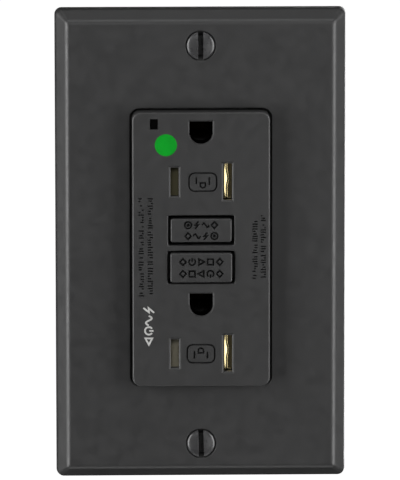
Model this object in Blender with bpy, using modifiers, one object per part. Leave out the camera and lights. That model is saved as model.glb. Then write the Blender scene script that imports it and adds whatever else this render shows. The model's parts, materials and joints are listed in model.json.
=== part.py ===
"""Duplex wall outlet with test and reset buttons, as an assembly of separate pieces.

The frame: +Z is up, the face looks along -Y, and the wall surface is the plane y = 0.
The origin is where the centre line of the outlet meets the wall surface.
Everything in front of the wall has negative y; what sits in the wall box has positive y.
Lengths in this file are millimetres, and the helpers turn them into metres.
"""

import math

import bmesh
import bpy

MM = 0.001

# Wall plate: a one-gang plate with a rectangular opening.
PLATE_WIDTH, PLATE_HEIGHT, PLATE_DEPTH = 69.85, 114.3, 5.8
PLATE_WALL, PLATE_CORNER = 2.2, 1.7
OPENING_WIDTH, OPENING_HEIGHT, OPENING_CORNER = 34.0, 67.6, 2.3
PLATE_SCREW_Z = 48.41
COUNTERSINK_RADIUS = 3.65

# Front cover: the moulded face that stands proud of the plate.
FACE_Y = -9.2
FACE_WIDTH, FACE_HEIGHT, FACE_CORNER = 33.0, 66.6, 2.0
FACE_CENTRE = (0.0, -0.45)  # of the raised face and of the opening round it
FACE_WALL = 1.8
FLANGE_WIDTH, FLANGE_HEIGHT, FLANGE_FRONT, FLANGE_BACK = 42.0, 68.0, -3.3, -1.5
POCKET_HALF_WIDTH = 14.7

# The two sockets, given by the height of their blade slots. The ground pin is above the slots.
SLOT_Z = {"upper": 16.0, "lower": -25.75}
SLOT_X = 6.35
GROUND_ABOVE_SLOTS = 12.0
HOT_SLOT, NEUTRAL_SLOT = (1.96, 6.9), (2.1, 8.8)
SLOT_FLARE, SLOT_FLARE_DEPTH = 0.5, 0.55
GROUND_RADIUS, GROUND_FLAT = 2.77, 2.6

# Buttons: (width, height, centre height, front) of each button, and its clearance in the cover.
TEST_BUTTON = (14.6, 5.7, 4.27, -9.45)
RESET_BUTTON = (14.8, 7.1, -4.71, -9.95)
TEST_GAP, RESET_GAP = (0.5, 0.55), (0.45, 0.35)
BUTTON_SHOULDER, BUTTON_EAR, BUTTON_BACK = -6.0, 1.1, -4.9
WINDOW_X, WINDOW_Z, WINDOW_SIZE = -11.27, 30.0, (1.9, 2.5)

# Layers behind the face, by their y.
STRAP = (-1.2, 0.0)
STRAP_LENGTH = 103.0
HOUSING = (0.3, 12.3)
BUS_BAR = (12.6, 13.3)
ARM_Y, ARM_THICKNESS = 15.6, 0.4
BOARD = (17.0, 18.5)
CASE_FRONT, CASE_BACK = 0.3, 31.0
CASE_WIDTH, CASE_HEIGHT, CASE_WALL = 42.6, 68.0, 1.6
MOUNTING_SCREW_Z = 41.67
CASE_SCREW_X, CASE_SCREW_Z = 17.95, 30.6

# Side terminals: line above, load below, each a screw, a fixed tab and a clamp plate in a bay.
TERMINAL_Z = {"line": 12.0, "load": -12.0}
TERMINAL_Y = 9.0
BAY_Y, BAY_HALF_HEIGHT, BAY_FLOOR_X = (4.9, 16.9), 4.8, 14.6
TAB_X = (18.5, 19.4)
WIRE_HOLE_X, WIRE_HOLE_OFFSET, WIRE_HOLE_RADIUS = 17.3, 3.1, 1.45
GROUND_TAB_X, GROUND_TAB_Y, GROUND_TAB_Z = 11.0, 5.2, (-36.2, -35.0)

# Latch: the reset stem, the lifter round it, and the solenoid that knocks the latch plate aside.
STEM_RADIUS, STEM_GROOVE_RADIUS, STEM_GROOVE = 1.1, 0.7, (23.3, 24.7)
LATCH_Y = 24.0
ARM_PIVOT_Z = 8.9

CLEARANCE = 0.3
CORNER_STEPS = 3
PLANE_TURN = {"XY": (0, 0, 0), "XZ": (math.pi / 2, 0, 0), "YZ": (math.pi / 2, 0, math.pi / 2)}
PLANE_NORMAL = {"XY": 2, "XZ": 1, "YZ": 0}
AXIS_TURN = {
    "-X": (0, -math.pi / 2, 0),
    "+X": (0, math.pi / 2, 0),
    "-Y": (math.pi / 2, 0, 0),
    "+Y": (-math.pi / 2, 0, 0),
    "-Z": (math.pi, 0, 0),
    "+Z": (0, 0, 0),
}

for leftover in list(bpy.data.objects):
    bpy.data.objects.remove(leftover)

PARTS = bpy.data.collections.new("duplex_wall_outlet")
HELPERS = bpy.data.collections.new("cutters_and_joined_shapes")
bpy.context.scene.collection.children.link(PARTS)
bpy.context.scene.collection.children.link(HELPERS)


def finish(name, colour, roughness, metallic=0.0):
    """A Principled material."""
    made = bpy.data.materials.new(name)
    made.use_nodes = True
    shader = made.node_tree.nodes["Principled BSDF"]
    shader.inputs["Base Color"].default_value = (*colour, 1.0)
    shader.inputs["Roughness"].default_value = roughness
    shader.inputs["Metallic"].default_value = metallic
    return made


CHARCOAL = finish("charcoal_plastic", (0.045, 0.045, 0.045), 0.35)
CASE_GREY = finish("case_plastic", (0.09, 0.092, 0.095), 0.5)
WHITE_PLASTIC = finish("white_nylon", (0.72, 0.71, 0.68), 0.5)
TAN_PLASTIC = finish("shutter_plastic", (0.16, 0.14, 0.09), 0.45)
CLEAR = finish("light_pipe", (0.03, 0.03, 0.03), 0.15)
BLACK_PAINTED = finish("painted_screw", (0.05, 0.05, 0.05), 0.3, 0.4)
STEEL = finish("zinc_plated_steel", (0.62, 0.62, 0.6), 0.32, 1.0)
BRASS = finish("brass", (0.72, 0.52, 0.2), 0.25, 1.0)
NICKEL = finish("nickel_plating", (0.66, 0.65, 0.61), 0.25, 1.0)
COPPER = finish("copper_winding", (0.62, 0.27, 0.13), 0.35, 1.0)
GREEN_SCREW = finish("green_plating", (0.03, 0.28, 0.08), 0.35, 0.6)
BOARD_GREEN = finish("circuit_board", (0.02, 0.16, 0.07), 0.45)
FIBRE = finish("fibre_washer", (0.35, 0.28, 0.2), 0.9)
BLUE = finish("varistor_coating", (0.03, 0.09, 0.3), 0.4)
BLACK = finish("black_epoxy", (0.02, 0.02, 0.022), 0.4)


# ---- Shapes ----------------------------------------------------------------------------------


def add_box(bm, x, y, z):
    """A box that spans three (low, high) pairs."""
    made = bmesh.ops.create_cube(bm, size=1.0)
    for vert in made["verts"]:
        for k, (low, high) in enumerate((x, y, z)):
            vert.co[k] = ((low + high) / 2 + vert.co[k] * (high - low)) * MM


def add_cylinder(bm, axis, across, radius, low, high, segments=20, end_radius=None):
    """A cylinder, or a cone with end_radius, from low to high along an axis, the letter X, Y or Z.

    across is the axis's place: its two other coordinates, in X, Y, Z order.
    """
    made = bmesh.ops.create_cone(
        bm,
        cap_ends=True,
        segments=segments,
        radius1=radius,
        radius2=radius if end_radius is None else end_radius,
        depth=high - low,
    )
    for vert in made["verts"]:
        u, v, along = vert.co.x, vert.co.y, vert.co.z + (low + high) / 2
        u, v = u + across[0], v + across[1]
        place = {"X": (along, u, v), "Y": (u, along, v), "Z": (u, v, along)}[axis]
        vert.co = [value * MM for value in place]
    if axis == "Y":
        bmesh.ops.reverse_faces(bm, faces=list({f for v in made["verts"] for f in v.link_faces}))


def arc(centre, radius, start, end, steps):
    """Points on an arc, from and to angles in degrees."""
    angles = [math.radians(start + (end - start) * i / steps) for i in range(steps + 1)]
    return [(centre[0] + radius * math.cos(a), centre[1] + radius * math.sin(a)) for a in angles]


def rounded_rectangle(width, height, radius, centre=(0.0, 0.0), steps=CORNER_STEPS):
    """Outline of a rectangle with round corners."""
    points = []
    for quarter, (sx, sy) in enumerate(((1, 1), (-1, 1), (-1, -1), (1, -1))):
        corner = (centre[0] + sx * (width / 2 - radius), centre[1] + sy * (height / 2 - radius))
        points += arc(corner, radius, 90 * quarter, 90 * quarter + 90, steps)
    return points


def rectangle(x, z):
    """Outline of a plain rectangle that spans two (low, high) pairs."""
    return [(x[0], z[0]), (x[1], z[0]), (x[1], z[1]), (x[0], z[1])]


def circle(centre, radius, steps=20):
    return arc(centre, radius, 0, 360 * (steps - 1) / steps, steps - 1)


def slot_outline(centre, half_length, radius, upright=False, steps=8):
    """Outline with two straight sides and round ends."""
    if upright:
        return arc((centre[0], centre[1] + half_length), radius, 0, 180, steps) + arc(
            (centre[0], centre[1] - half_length), radius, 180, 360, steps
        )
    return arc((centre[0] + half_length, centre[1]), radius, -90, 90, steps) + arc(
        (centre[0] - half_length, centre[1]), radius, 90, 270, steps
    )


def ground_outline(height, grow=0.0, steps=12):
    """Outline of a ground pin's hole: flat on top, round below."""
    radius = GROUND_RADIUS + grow
    top = height + GROUND_FLAT + grow
    return arc((0, height), radius, 180, 360, steps) + [(radius, top), (-radius, top)]


def cross_outline(centre, arm, width):
    """Outline of a cross recess."""
    a, w = arm, width / 2
    corners = [(a, w), (w, w), (w, a), (-w, a), (-w, w), (-a, w)]
    corners += [(-x, -z) for x, z in corners]
    return [(centre[0] + x, centre[1] + z) for x, z in corners]


def offset(points, distance, closed=True):
    """The points moved by a distance to the left of the way they run, with mitred corners."""
    moved = []
    count = len(points)
    for i, (x, z) in enumerate(points):
        before = points[(i - 1) % count] if closed or i else None
        after = points[(i + 1) % count] if closed or i < count - 1 else None
        normals = []
        for a, b in ((before, (x, z)), ((x, z), after)):
            if a is None or b is None:
                continue
            length = math.hypot(b[0] - a[0], b[1] - a[1])
            normals.append(((a[1] - b[1]) / length, (b[0] - a[0]) / length))
        nx, nz = sum(n[0] for n in normals), sum(n[1] for n in normals)
        scale = len(normals) * distance / (nx * nx + nz * nz)
        moved.append((x + nx * scale, z + nz * scale))
    return moved


def strip(path, thickness):
    """Outline of a metal strip of even thickness, bent along a path."""
    return offset(path, thickness / 2, closed=False) + offset(path, -thickness / 2, closed=False)[::-1]


def add_outline(bm, plane, low, high, outline, holes=()):
    """A prism: a 2D curve filled on both sides, extruded from low to high across its plane."""
    curve = bpy.data.curves.new("outline", "CURVE")
    curve.dimensions = "2D"
    curve.fill_mode = "BOTH"
    curve.extrude = (high - low) / 2 * MM
    for points in (outline, *holes):
        spline = curve.splines.new("POLY")
        spline.points.add(len(points) - 1)
        for point, (u, v) in zip(spline.points, points):
            point.co = (u * MM, v * MM, 0, 1)
        spline.use_cyclic_u = True
    guide = bpy.data.objects.new("outline", curve)
    HELPERS.objects.link(guide)
    guide.rotation_euler = PLANE_TURN[plane]
    guide.location[PLANE_NORMAL[plane]] = (low + high) / 2 * MM
    bpy.context.view_layer.update()
    graph = bpy.context.evaluated_depsgraph_get()
    mesh = bpy.data.meshes.new_from_object(guide.evaluated_get(graph))
    mesh.transform(guide.matrix_world)
    bpy.data.objects.remove(guide)
    fresh = bmesh.new()
    fresh.from_mesh(mesh)
    bmesh.ops.remove_doubles(fresh, verts=fresh.verts, dist=1e-7)
    fresh.normal_update()
    bmesh.ops.recalc_face_normals(fresh, faces=fresh.faces)
    fresh.to_mesh(mesh)
    fresh.free()
    bm.from_mesh(mesh)
    bpy.data.meshes.remove(mesh)


def add_loft(bm, sections):
    """A closed body through sections along Y, each (y, outline), all with as many points."""
    loops = [[bm.verts.new((x * MM, y * MM, z * MM)) for x, z in outline] for y, outline in sections]
    faces = [bm.faces.new(loops[0]), bm.faces.new(loops[-1])]
    for first, second in zip(loops, loops[1:]):
        for i in range(len(first)):
            j = (i + 1) % len(first)
            faces.append(bm.faces.new((first[i], first[j], second[j], second[i])))
    bm.normal_update()
    bmesh.ops.recalc_face_normals(bm, faces=faces)


def place(name, bm, material=None):
    """Turns a bmesh into an object: a part with its material, or a hidden helper without one."""
    mesh = bpy.data.meshes.new(name)
    bm.to_mesh(mesh)
    bm.free()
    obj = bpy.data.objects.new(name, mesh)
    if material is None:
        HELPERS.objects.link(obj)
        obj.hide_render = True
        obj.display_type = "WIRE"
    else:
        PARTS.objects.link(obj)
        mesh.materials.append(material)
        mesh.shade_smooth()
        mesh.set_sharp_from_angle(angle=math.radians(30))
    return obj


def combine(obj, operation, helper):
    """Cuts a helper from a part (DIFFERENCE), or joins it to the part (UNION)."""
    modifier = obj.modifiers.new(helper.name, "BOOLEAN")
    modifier.operation = operation
    modifier.object = helper
    return obj


def outlined_part(name, material, plane, low, high, outline, holes=()):
    bm = bmesh.new()
    add_outline(bm, plane, low, high, outline, holes)
    return place(name, bm, material)


def turned_part(name, material, profile, location, axis, steps=20, closed=False):
    """A turned piece: (radius, height) points down its outer side, head first, spun with a Screw."""
    mesh = bpy.data.meshes.new(name)
    count = len(profile)
    edges = [(i, i + 1) for i in range(count - 1)] + ([(count - 1, 0)] if closed else [])
    mesh.from_pydata([(r * MM, 0, h * MM) for r, h in profile], edges, [])
    mesh.materials.append(material)
    obj = bpy.data.objects.new(name, mesh)
    PARTS.objects.link(obj)
    obj.location = [value * MM for value in location]
    obj.rotation_euler = AXIS_TURN[axis]
    spin = obj.modifiers.new("Spin", "SCREW")
    spin.steps = spin.render_steps = steps
    spin.use_merge_vertices = True
    spin.merge_threshold = 1e-6
    return obj


def coil_part(name, material, start, axis, length, radius, wire, turns, points_per_turn=10):
    """A coil spring: a POLY spline along a helix, with a round bevel."""
    curve = bpy.data.curves.new(name, "CURVE")
    curve.dimensions = "3D"
    curve.bevel_depth = wire * MM
    curve.bevel_resolution = 0
    curve.use_fill_caps = True
    spline = curve.splines.new("POLY")
    count = int(turns * points_per_turn)
    spline.points.add(count)
    for i, point in enumerate(spline.points):
        angle = 2 * math.pi * i / points_per_turn
        along = length * i / count
        point.co = (radius * math.cos(angle) * MM, radius * math.sin(angle) * MM, along * MM, 1)
    curve.materials.append(material)
    obj = bpy.data.objects.new(name, curve)
    PARTS.objects.link(obj)
    obj.location = [value * MM for value in start]
    obj.rotation_euler = AXIS_TURN[axis]
    return obj


def pivot(name, location, *moving):
    """An empty on a joint's axis, which carries the pieces that move there."""
    empty = bpy.data.objects.new(name, None)
    PARTS.objects.link(empty)
    empty.location = [value * MM for value in location]
    bpy.context.view_layer.update()
    for obj in moving:
        obj.parent = empty
        obj.matrix_parent_inverse = empty.matrix_world.inverted()


# ---- Wall plate and its screws ---------------------------------------------------------------


def plate_section(inset):
    corner = max(PLATE_CORNER - 0.35 * inset, 0.5)
    return rounded_rectangle(PLATE_WIDTH - 2 * inset, PLATE_HEIGHT - 2 * inset, corner)


def wall_plate():
    """A shallow dish with bevelled edges, a rectangular opening and two countersunk holes."""
    # How far in from the rear outline the surface is at each height above the wall.
    profile = [(0.0, 0.0), (0.15, 1.6), (0.45, 2.6), (2.3, 4.75), (3.0, 5.35), (3.7, 5.68)]
    profile += [(4.5, PLATE_DEPTH)]
    bm = bmesh.new()
    add_loft(bm, [(-height, plate_section(inset)) for inset, height in profile])
    plate = place("wall_plate", bm, CHARCOAL)

    bm = bmesh.new()
    inner = [(2.0, -1.0), (2.1, 2.0), (3.9, PLATE_DEPTH - PLATE_WALL)]
    add_loft(bm, [(-height, plate_section(inset)) for inset, height in inner])
    combine(plate, "DIFFERENCE", place("plate_hollow", bm))

    bm = bmesh.new()
    for side in (1, -1):
        add_cylinder(bm, "Y", (0, side * PLATE_SCREW_Z), 3.1, -4.0, -1.7)
        for x in (-14.0, 14.0):
            add_box(bm, (x - 0.5, x + 0.5), (-4.0, -1.9), sorted((side * 37.5, side * 54.6)))
    combine(plate, "UNION", place("plate_ribs", bm))

    bm = bmesh.new()
    lip = [(-PLATE_DEPTH - 0.3, 1.0), (-PLATE_DEPTH + 0.3, 0.17), (-PLATE_DEPTH + 0.6, 0.0), (0.5, 0.0)]
    sizes = [(y, OPENING_WIDTH + 2 * grow, OPENING_HEIGHT + 2 * grow, grow) for y, grow in lip]
    add_loft(
        bm,
        [(y, rounded_rectangle(w, h, OPENING_CORNER + grow, FACE_CENTRE)) for y, w, h, grow in sizes],
    )
    for side in (1, -1):
        add_cylinder(bm, "Y", (0, side * PLATE_SCREW_Z), 2.0, -PLATE_DEPTH - 1, 0.5)
    combine(plate, "DIFFERENCE", place("plate_openings", bm))

    bm = bmesh.new()
    slope = (COUNTERSINK_RADIUS - 2.0) / 2.3
    for side in (1, -1):
        add_cylinder(
            bm,
            "Y",
            (0, side * PLATE_SCREW_Z),
            COUNTERSINK_RADIUS + 0.3 * slope,
            -PLATE_DEPTH - 0.3,
            -PLATE_DEPTH + 2.3,
            32,
            2.0,
        )
    combine(plate, "DIFFERENCE", place("plate_countersinks", bm))


def plate_screw(end, side):
    """Oval-head screw, slotted right across."""
    head = -PLATE_DEPTH
    tilts = [math.radians(angle) for angle in (0, 35, 65, 90)]
    dome = [(3.35 * math.sin(tilt), 0.75 * math.cos(tilt) - 0.1) for tilt in tilts]
    profile = dome + [(3.25, -0.3), (1.6, -1.95), (1.6, -11.2), (1.2, -12.0), (0, -12.0)]
    z = side * PLATE_SCREW_Z
    screw = turned_part(f"plate_screw_{end}", BLACK_PAINTED, profile, (0, head, z), "-Y", 24)
    bm = bmesh.new()
    add_box(bm, (-0.5, 0.5), (head - 1.5, head + 0.35), (z - 4, z + 4))
    combine(screw, "DIFFERENCE", place(f"plate_screw_slot_{end}", bm))


# ---- Front cover and what shows in it --------------------------------------------------------


def slot_mouth(bm, x, z, size):
    """A blade slot through the face, flared at the surface."""
    width, height = size
    grow = {FACE_Y - 0.5: SLOT_FLARE, FACE_Y: SLOT_FLARE, FACE_Y + SLOT_FLARE_DEPTH: 0.05, FACE_Y + 2.5: 0.0}
    sections = []
    for y, g in grow.items():
        sections.append((y, rounded_rectangle(width + 2 * g, height + 2 * g, 0.12 + g / 4, (x, z), 2)))
    add_loft(bm, sections)


def button_opening(bm, button, gap):
    width, height, z, _ = button
    wide, high = width / 2 + gap[0], height / 2 + gap[1]
    add_loft(
        bm,
        [
            (FACE_Y - 0.5, rounded_rectangle(2 * wide + 0.5, 2 * high + 0.5, 0.5, (0, z))),
            (FACE_Y, rounded_rectangle(2 * wide + 0.5, 2 * high + 0.5, 0.5, (0, z))),
            (FACE_Y + 0.25, rounded_rectangle(2 * wide, 2 * high, 0.4, (0, z))),
            (-1.0, rounded_rectangle(2 * wide, 2 * high, 0.4, (0, z))),
        ],
    )


def front_cover():
    """The face block on a wider flange, hollow behind, with the socket holes and button openings."""
    block = [(FLANGE_FRONT, 0.0), (-8.6, 0.0), (-8.9, 0.08), (-9.11, 0.27), (FACE_Y, 0.62)]
    flange = rounded_rectangle(FLANGE_WIDTH, FLANGE_HEIGHT, 2.0)
    bm = bmesh.new()
    add_loft(
        bm,
        [(FLANGE_BACK, flange), (FLANGE_FRONT, flange)]
        + [
            (y, rounded_rectangle(FACE_WIDTH - 2 * d, FACE_HEIGHT - 2 * d, FACE_CORNER - d / 2, FACE_CENTRE))
            for y, d in block
        ],
    )
    cover = place("front_cover", bm, CHARCOAL)

    bm = bmesh.new()
    floor = FACE_Y + FACE_WALL
    for low, high in ((9.9, 31.7), (-31.9, -9.9)):
        add_box(bm, (-POCKET_HALF_WIDTH, POCKET_HALF_WIDTH), (floor, -1.0), (low, high))
    for button, gap in ((TEST_BUTTON, TEST_GAP), (RESET_BUTTON, RESET_GAP)):
        width, height, z, _ = button
        wide, high = width / 2 + gap[0] + BUTTON_EAR, height / 2 + gap[1]
        add_box(bm, (-wide, wide), (BUTTON_SHOULDER - CLEARANCE, -1.0), (z - high, z + high))
    for x in (-CASE_SCREW_X, CASE_SCREW_X):
        for z in (-CASE_SCREW_Z, CASE_SCREW_Z):
            add_cylinder(bm, "Y", (x, z), 1.3, -2.7, -1.0, 12)
    combine(cover, "DIFFERENCE", place("cover_pockets", bm))

    bm = bmesh.new()
    for z in SLOT_Z.values():
        slot_mouth(bm, -SLOT_X, z, HOT_SLOT)
        slot_mouth(bm, SLOT_X, z, NEUTRAL_SLOT)
        ground = z + GROUND_ABOVE_SLOTS
        steps = {FACE_Y - 0.5: 0.35, FACE_Y: 0.35, FACE_Y + 0.4: 0.0, FACE_Y + 2.5: 0.0}
        add_loft(bm, [(y, ground_outline(ground, g)) for y, g in steps.items()])
    button_opening(bm, TEST_BUTTON, TEST_GAP)
    button_opening(bm, RESET_BUTTON, RESET_GAP)
    half_w, half_h = WINDOW_SIZE[0] / 2, WINDOW_SIZE[1] / 2
    add_box(
        bm,
        (WINDOW_X - half_w, WINDOW_X + half_w),
        (FACE_Y - 0.5, FACE_Y + 2.5),
        (WINDOW_Z - half_h, WINDOW_Z + half_h),
    )
    combine(cover, "DIFFERENCE", place("cover_openings", bm))


def button(name, sizes):
    """A push button: a rounded block with an ear on each side that keeps it in the cover."""
    width, height, z, front = sizes
    rounds = [(front, 0.35), (front + 0.12, 0.12), (front + 0.4, 0.0), (BUTTON_SHOULDER + 0.5, 0.0)]
    sections = []
    for y, d in rounds:
        sections.append((y, rounded_rectangle(width - 2 * d, height - 2 * d, 0.5 - d / 2, (0, z))))
    bm = bmesh.new()
    add_loft(bm, sections)
    made = place(name, bm, CHARCOAL)
    bm = bmesh.new()
    ear = width / 2 + BUTTON_EAR
    add_box(bm, (-ear, ear), (BUTTON_SHOULDER, BUTTON_BACK), (z - height / 2 + 0.3, z + height / 2 - 0.3))
    combine(made, "UNION", place(f"{name}_ears", bm))
    return made


def buttons():
    test = button("test_button", TEST_BUTTON)
    z = TEST_BUTTON[2]
    bm = bmesh.new()
    add_box(bm, (-1.0, 1.0), (BUTTON_BACK - 0.5, -4.0), (z - 0.9, z + 0.9))
    combine(test, "UNION", place("test_button_prong", bm))
    pivot("test_press_axis", (0, BUTTON_BACK, z), test)

    reset = button("reset_button", RESET_BUTTON)
    z = RESET_BUTTON[2]
    bm = bmesh.new()
    add_cylinder(bm, "Y", (0, z), STEM_RADIUS + 0.2, -7.0, -4.0, 16)
    combine(reset, "DIFFERENCE", place("reset_button_bore", bm))
    groove_start, groove_end = STEM_GROOVE
    length = 27.2 + 6.7
    top = 6.7
    profile = [
        (0, top),
        (STEM_RADIUS, top),
        (STEM_RADIUS, -groove_start),
        (STEM_GROOVE_RADIUS, -groove_start),
        (STEM_GROOVE_RADIUS, -groove_end),
        (STEM_RADIUS, -groove_end),
        (STEM_RADIUS, top - length + 1.0),
        (0.5, top - length),
        (0, top - length),
    ]
    stem = turned_part("reset_stem", STEEL, profile, (0, 0, z), "-Y", 16)
    pivot("reset_press_axis", (0, BUTTON_BACK, z), reset, stem)
    coil_part("reset_spring", STEEL, (0, -4.45, z), "+Y", 4.3, 2.3, 0.2, 4)


def test_leaf():
    """The springy strip under the test button that closes the test circuit."""
    path = [(8.8, -0.1), (6.6, -0.1), (5.2, -3.0), (3.8, -3.4), (-3.2, -3.4)]
    z = TEST_BUTTON[2]
    outlined_part("test_leaf", BRASS, "XY", z - 1.6, z + 1.6, strip(path, 0.3))


def indicator():
    """The light pipe behind the little window, and the lamp that feeds it from the board."""
    bm = bmesh.new()
    half_w, half_h = WINDOW_SIZE[0] / 2 - 0.12, WINDOW_SIZE[1] / 2 - 0.12
    add_box(
        bm,
        (WINDOW_X - half_w, WINDOW_X + half_w),
        (FACE_Y + 0.25, 15.2),
        (WINDOW_Z - half_h, WINDOW_Z + half_h),
    )
    place("indicator_light_pipe", bm, CLEAR)
    bm = bmesh.new()
    add_box(bm, (WINDOW_X - 1.3, WINDOW_X + 1.3), (15.6, 16.7), (WINDOW_Z - 1.0, WINDOW_Z + 1.0))
    place("indicator_lamp", bm, WHITE_PLASTIC)


# ---- Tamper-resistant shutters ---------------------------------------------------------------


def shutters(end):
    """One socket's shutters: a frame, two sliding shutters, a leaf and the spring between them."""
    z = SLOT_Z[end]
    bm = bmesh.new()
    add_box(bm, (-14.3, 14.3), (-7.1, -1.8), (z - 5.8, z + 5.8))
    frame = place(f"shutter_frame_{end}", bm, WHITE_PLASTIC)
    bm = bmesh.new()
    add_box(bm, (-12.9, 12.9), (-8.0, -3.9), (z - 4.75, z + 4.75))
    combine(frame, "DIFFERENCE", place(f"shutter_channel_{end}", bm))
    bm = bmesh.new()
    add_box(bm, (-SLOT_X - 1.4, -SLOT_X + 1.4), (-4.4, -1.0), (z - 4.0, z + 4.0))
    add_box(bm, (SLOT_X - 1.4, SLOT_X + 1.4), (-4.4, -1.0), (z - 4.6, z + 4.6))
    combine(frame, "DIFFERENCE", place(f"shutter_blade_holes_{end}", bm))

    spring_y, bore = -5.15, 0.75
    for name, side, drop in ((f"hot_shutter_{end}", -1, 0.0), (f"neutral_shutter_{end}", 1, 0.45)):
        ramp = [(8.5, -4.2), (8.5, -4.9 + drop), (5.0, -6.8 + drop), (3.5, -6.8 + drop), (3.5, -4.2)]
        made = outlined_part(
            name, TAN_PLASTIC, "XY", z - 4.4, z + 4.4, [(side * x, y) for x, y in ramp]
        )
        bm = bmesh.new()
        add_cylinder(bm, "X", (spring_y, z), bore, *sorted((side * 3.0, side * 5.8)), 12)
        combine(made, "DIFFERENCE", place(f"{name}_bore", bm))
        if side < 0:
            pivot(f"{name}_axis", (-SLOT_X, spring_y, z), made)
        else:
            neutral = made
    # The leaf bulges a little between the two ends of the neutral shutter's ramp.
    count = 8
    bow = 0.35
    path = []
    for i in range(count + 1):
        t = i / count
        x, y = 8.35 - 3.1 * t, -4.85 - 1.78 * t
        rise = bow * math.sin(math.pi * t)
        path.append((x + rise * 0.48, y - rise * 0.87))
    leaf = outlined_part(f"shutter_leaf_{end}", BRASS, "XY", z - 4.3, z + 4.3, strip(path, 0.22))
    pivot(f"neutral_shutter_{end}_axis", (SLOT_X, spring_y, z), neutral, leaf)
    coil_part(f"shutter_spring_{end}", STEEL, (-5.5, spring_y, z), "+X", 11.0, 0.5, 0.12, 8, 6)


# ---- Strap, ground path and mounting screws --------------------------------------------------


def mounting_strap():
    """The flat steel strap between cover and case, with ears for the screws and a ground tab."""
    ear, half = STRAP_LENGTH / 2, 9.5
    right = [
        (half, -33.2),
        (20.4, -33.2 + 0.01),
        (20.4, 33.2),
        (half, 33.2),
        (half, 43.6),
        (11.2, 44.6),
        (11.2, ear - 1.5),
        (9.7, ear),
    ]
    tab_low = GROUND_TAB_Z[0]
    left = [(-x, z) for x, z in reversed(right[1:])]
    lower_left = [(-half, -33.2), (-half, -43.6), (-11.2, -44.6), (-11.2, 1.5 - ear), (-9.7, -ear)]
    lower_right = [(9.7, -ear), (11.2, 1.5 - ear), (11.2, -44.6), (6.3, -43.6)]
    tab = [(6.3, tab_low), (15.7, tab_low), (15.7, -33.2)]
    outline = right[1:] + left + lower_left + lower_right + tab
    holes = []
    for side in (1, -1):
        holes.append(slot_outline((0, side * MOUNTING_SCREW_Z), 1.2, 2.1))
        holes.append(circle((0, side * PLATE_SCREW_Z), 1.9, 16))
        holes += [circle((x, side * CASE_SCREW_Z), 1.6, 12) for x in (-CASE_SCREW_X, CASE_SCREW_X)]
    for z in SLOT_Z.values():
        holes.append(rectangle((-9.4, 9.4), (z - 5.2, z + 5.2)))
        holes.append(circle((0, z + GROUND_ABOVE_SLOTS), 3.2))
    holes.append(rectangle((-9.6, 9.6), (-9.2, 8.8)))
    holes.append(rectangle((WINDOW_X - 1.3, WINDOW_X + 1.3), (WINDOW_Z - 1.6, WINDOW_Z + 1.6)))
    strap = outlined_part("mounting_strap", STEEL, "XZ", *STRAP, outline, holes)
    bm = bmesh.new()
    add_box(bm, (6.3, 15.7), (STRAP[0] + 0.6, 10.0), GROUND_TAB_Z)
    combine(strap, "UNION", place("ground_tab", bm))
    bm = bmesh.new()
    add_cylinder(bm, "Z", (GROUND_TAB_X, GROUND_TAB_Y), 2.15, tab_low - 1, -34.0)
    combine(strap, "DIFFERENCE", place("ground_tab_hole", bm))


def ground_contact(end):
    """A U-shaped clip that grips the ground pin, with two feet on the back of the strap."""
    z = SLOT_Z[end] + GROUND_ABOVE_SLOTS
    half = [(5.2, 0.7), (3.05, 0.7), (2.8, 1.2), (2.75, 10.2), (2.6, 12.0), (2.85, 13.0)]
    path = [(-x, y) for x, y in half] + half[::-1]
    outlined_part(f"ground_contact_{end}", BRASS, "XY", z - 2.6, z + 2.6, strip(path, 0.5))


def mounting_screw(end, side):
    """The long screw that holds the strap to the wall box, and the washer that keeps it captive."""
    head = [(0, 1.9), (1.6, 1.8), (2.7, 1.3), (3.3, 0.5), (3.3, 0.0)]
    profile = head + [(1.65, 0.0), (1.65, -29.5), (1.0, -31.0), (0, -31.0)]
    z = side * MOUNTING_SCREW_Z
    seat = STRAP[0] - 0.15
    screw = turned_part(f"mounting_screw_{end}", STEEL, profile, (0, seat, z), "-Y", 16)
    cross = cross_outline((0, z), 2.3, 0.9)
    bm = bmesh.new()
    add_loft(bm, [(seat - 3.0, cross), (seat - 0.9, cross)])
    combine(screw, "DIFFERENCE", place(f"mounting_screw_recess_{end}", bm))
    outlined_part(
        f"screw_retainer_{end}",
        FIBRE,
        "XZ",
        0.3,
        1.1,
        rounded_rectangle(9.0, 9.0, 0.8, (0, z), 2),
        [circle((0, z), 1.85, 16)],
    )


# ---- Middle housing and the current path -----------------------------------------------------


def interior_outline():
    """The inside of the rear case, seen from the front: narrow where the terminal bays are."""
    right = [(14.9, -30.6), (14.9, -27.8), (19.6, -27.8), (19.6, -20.5), (13.2, -20.5), (13.2, -4.6)]
    right += [(19.6, -4.6), (19.6, 4.6), (13.2, 4.6), (13.2, 20.5), (19.6, 20.5), (19.6, 27.8)]
    right += [(14.9, 27.8), (14.9, 32.4)]
    return right + [(-x, z) for x, z in reversed(right)]


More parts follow.
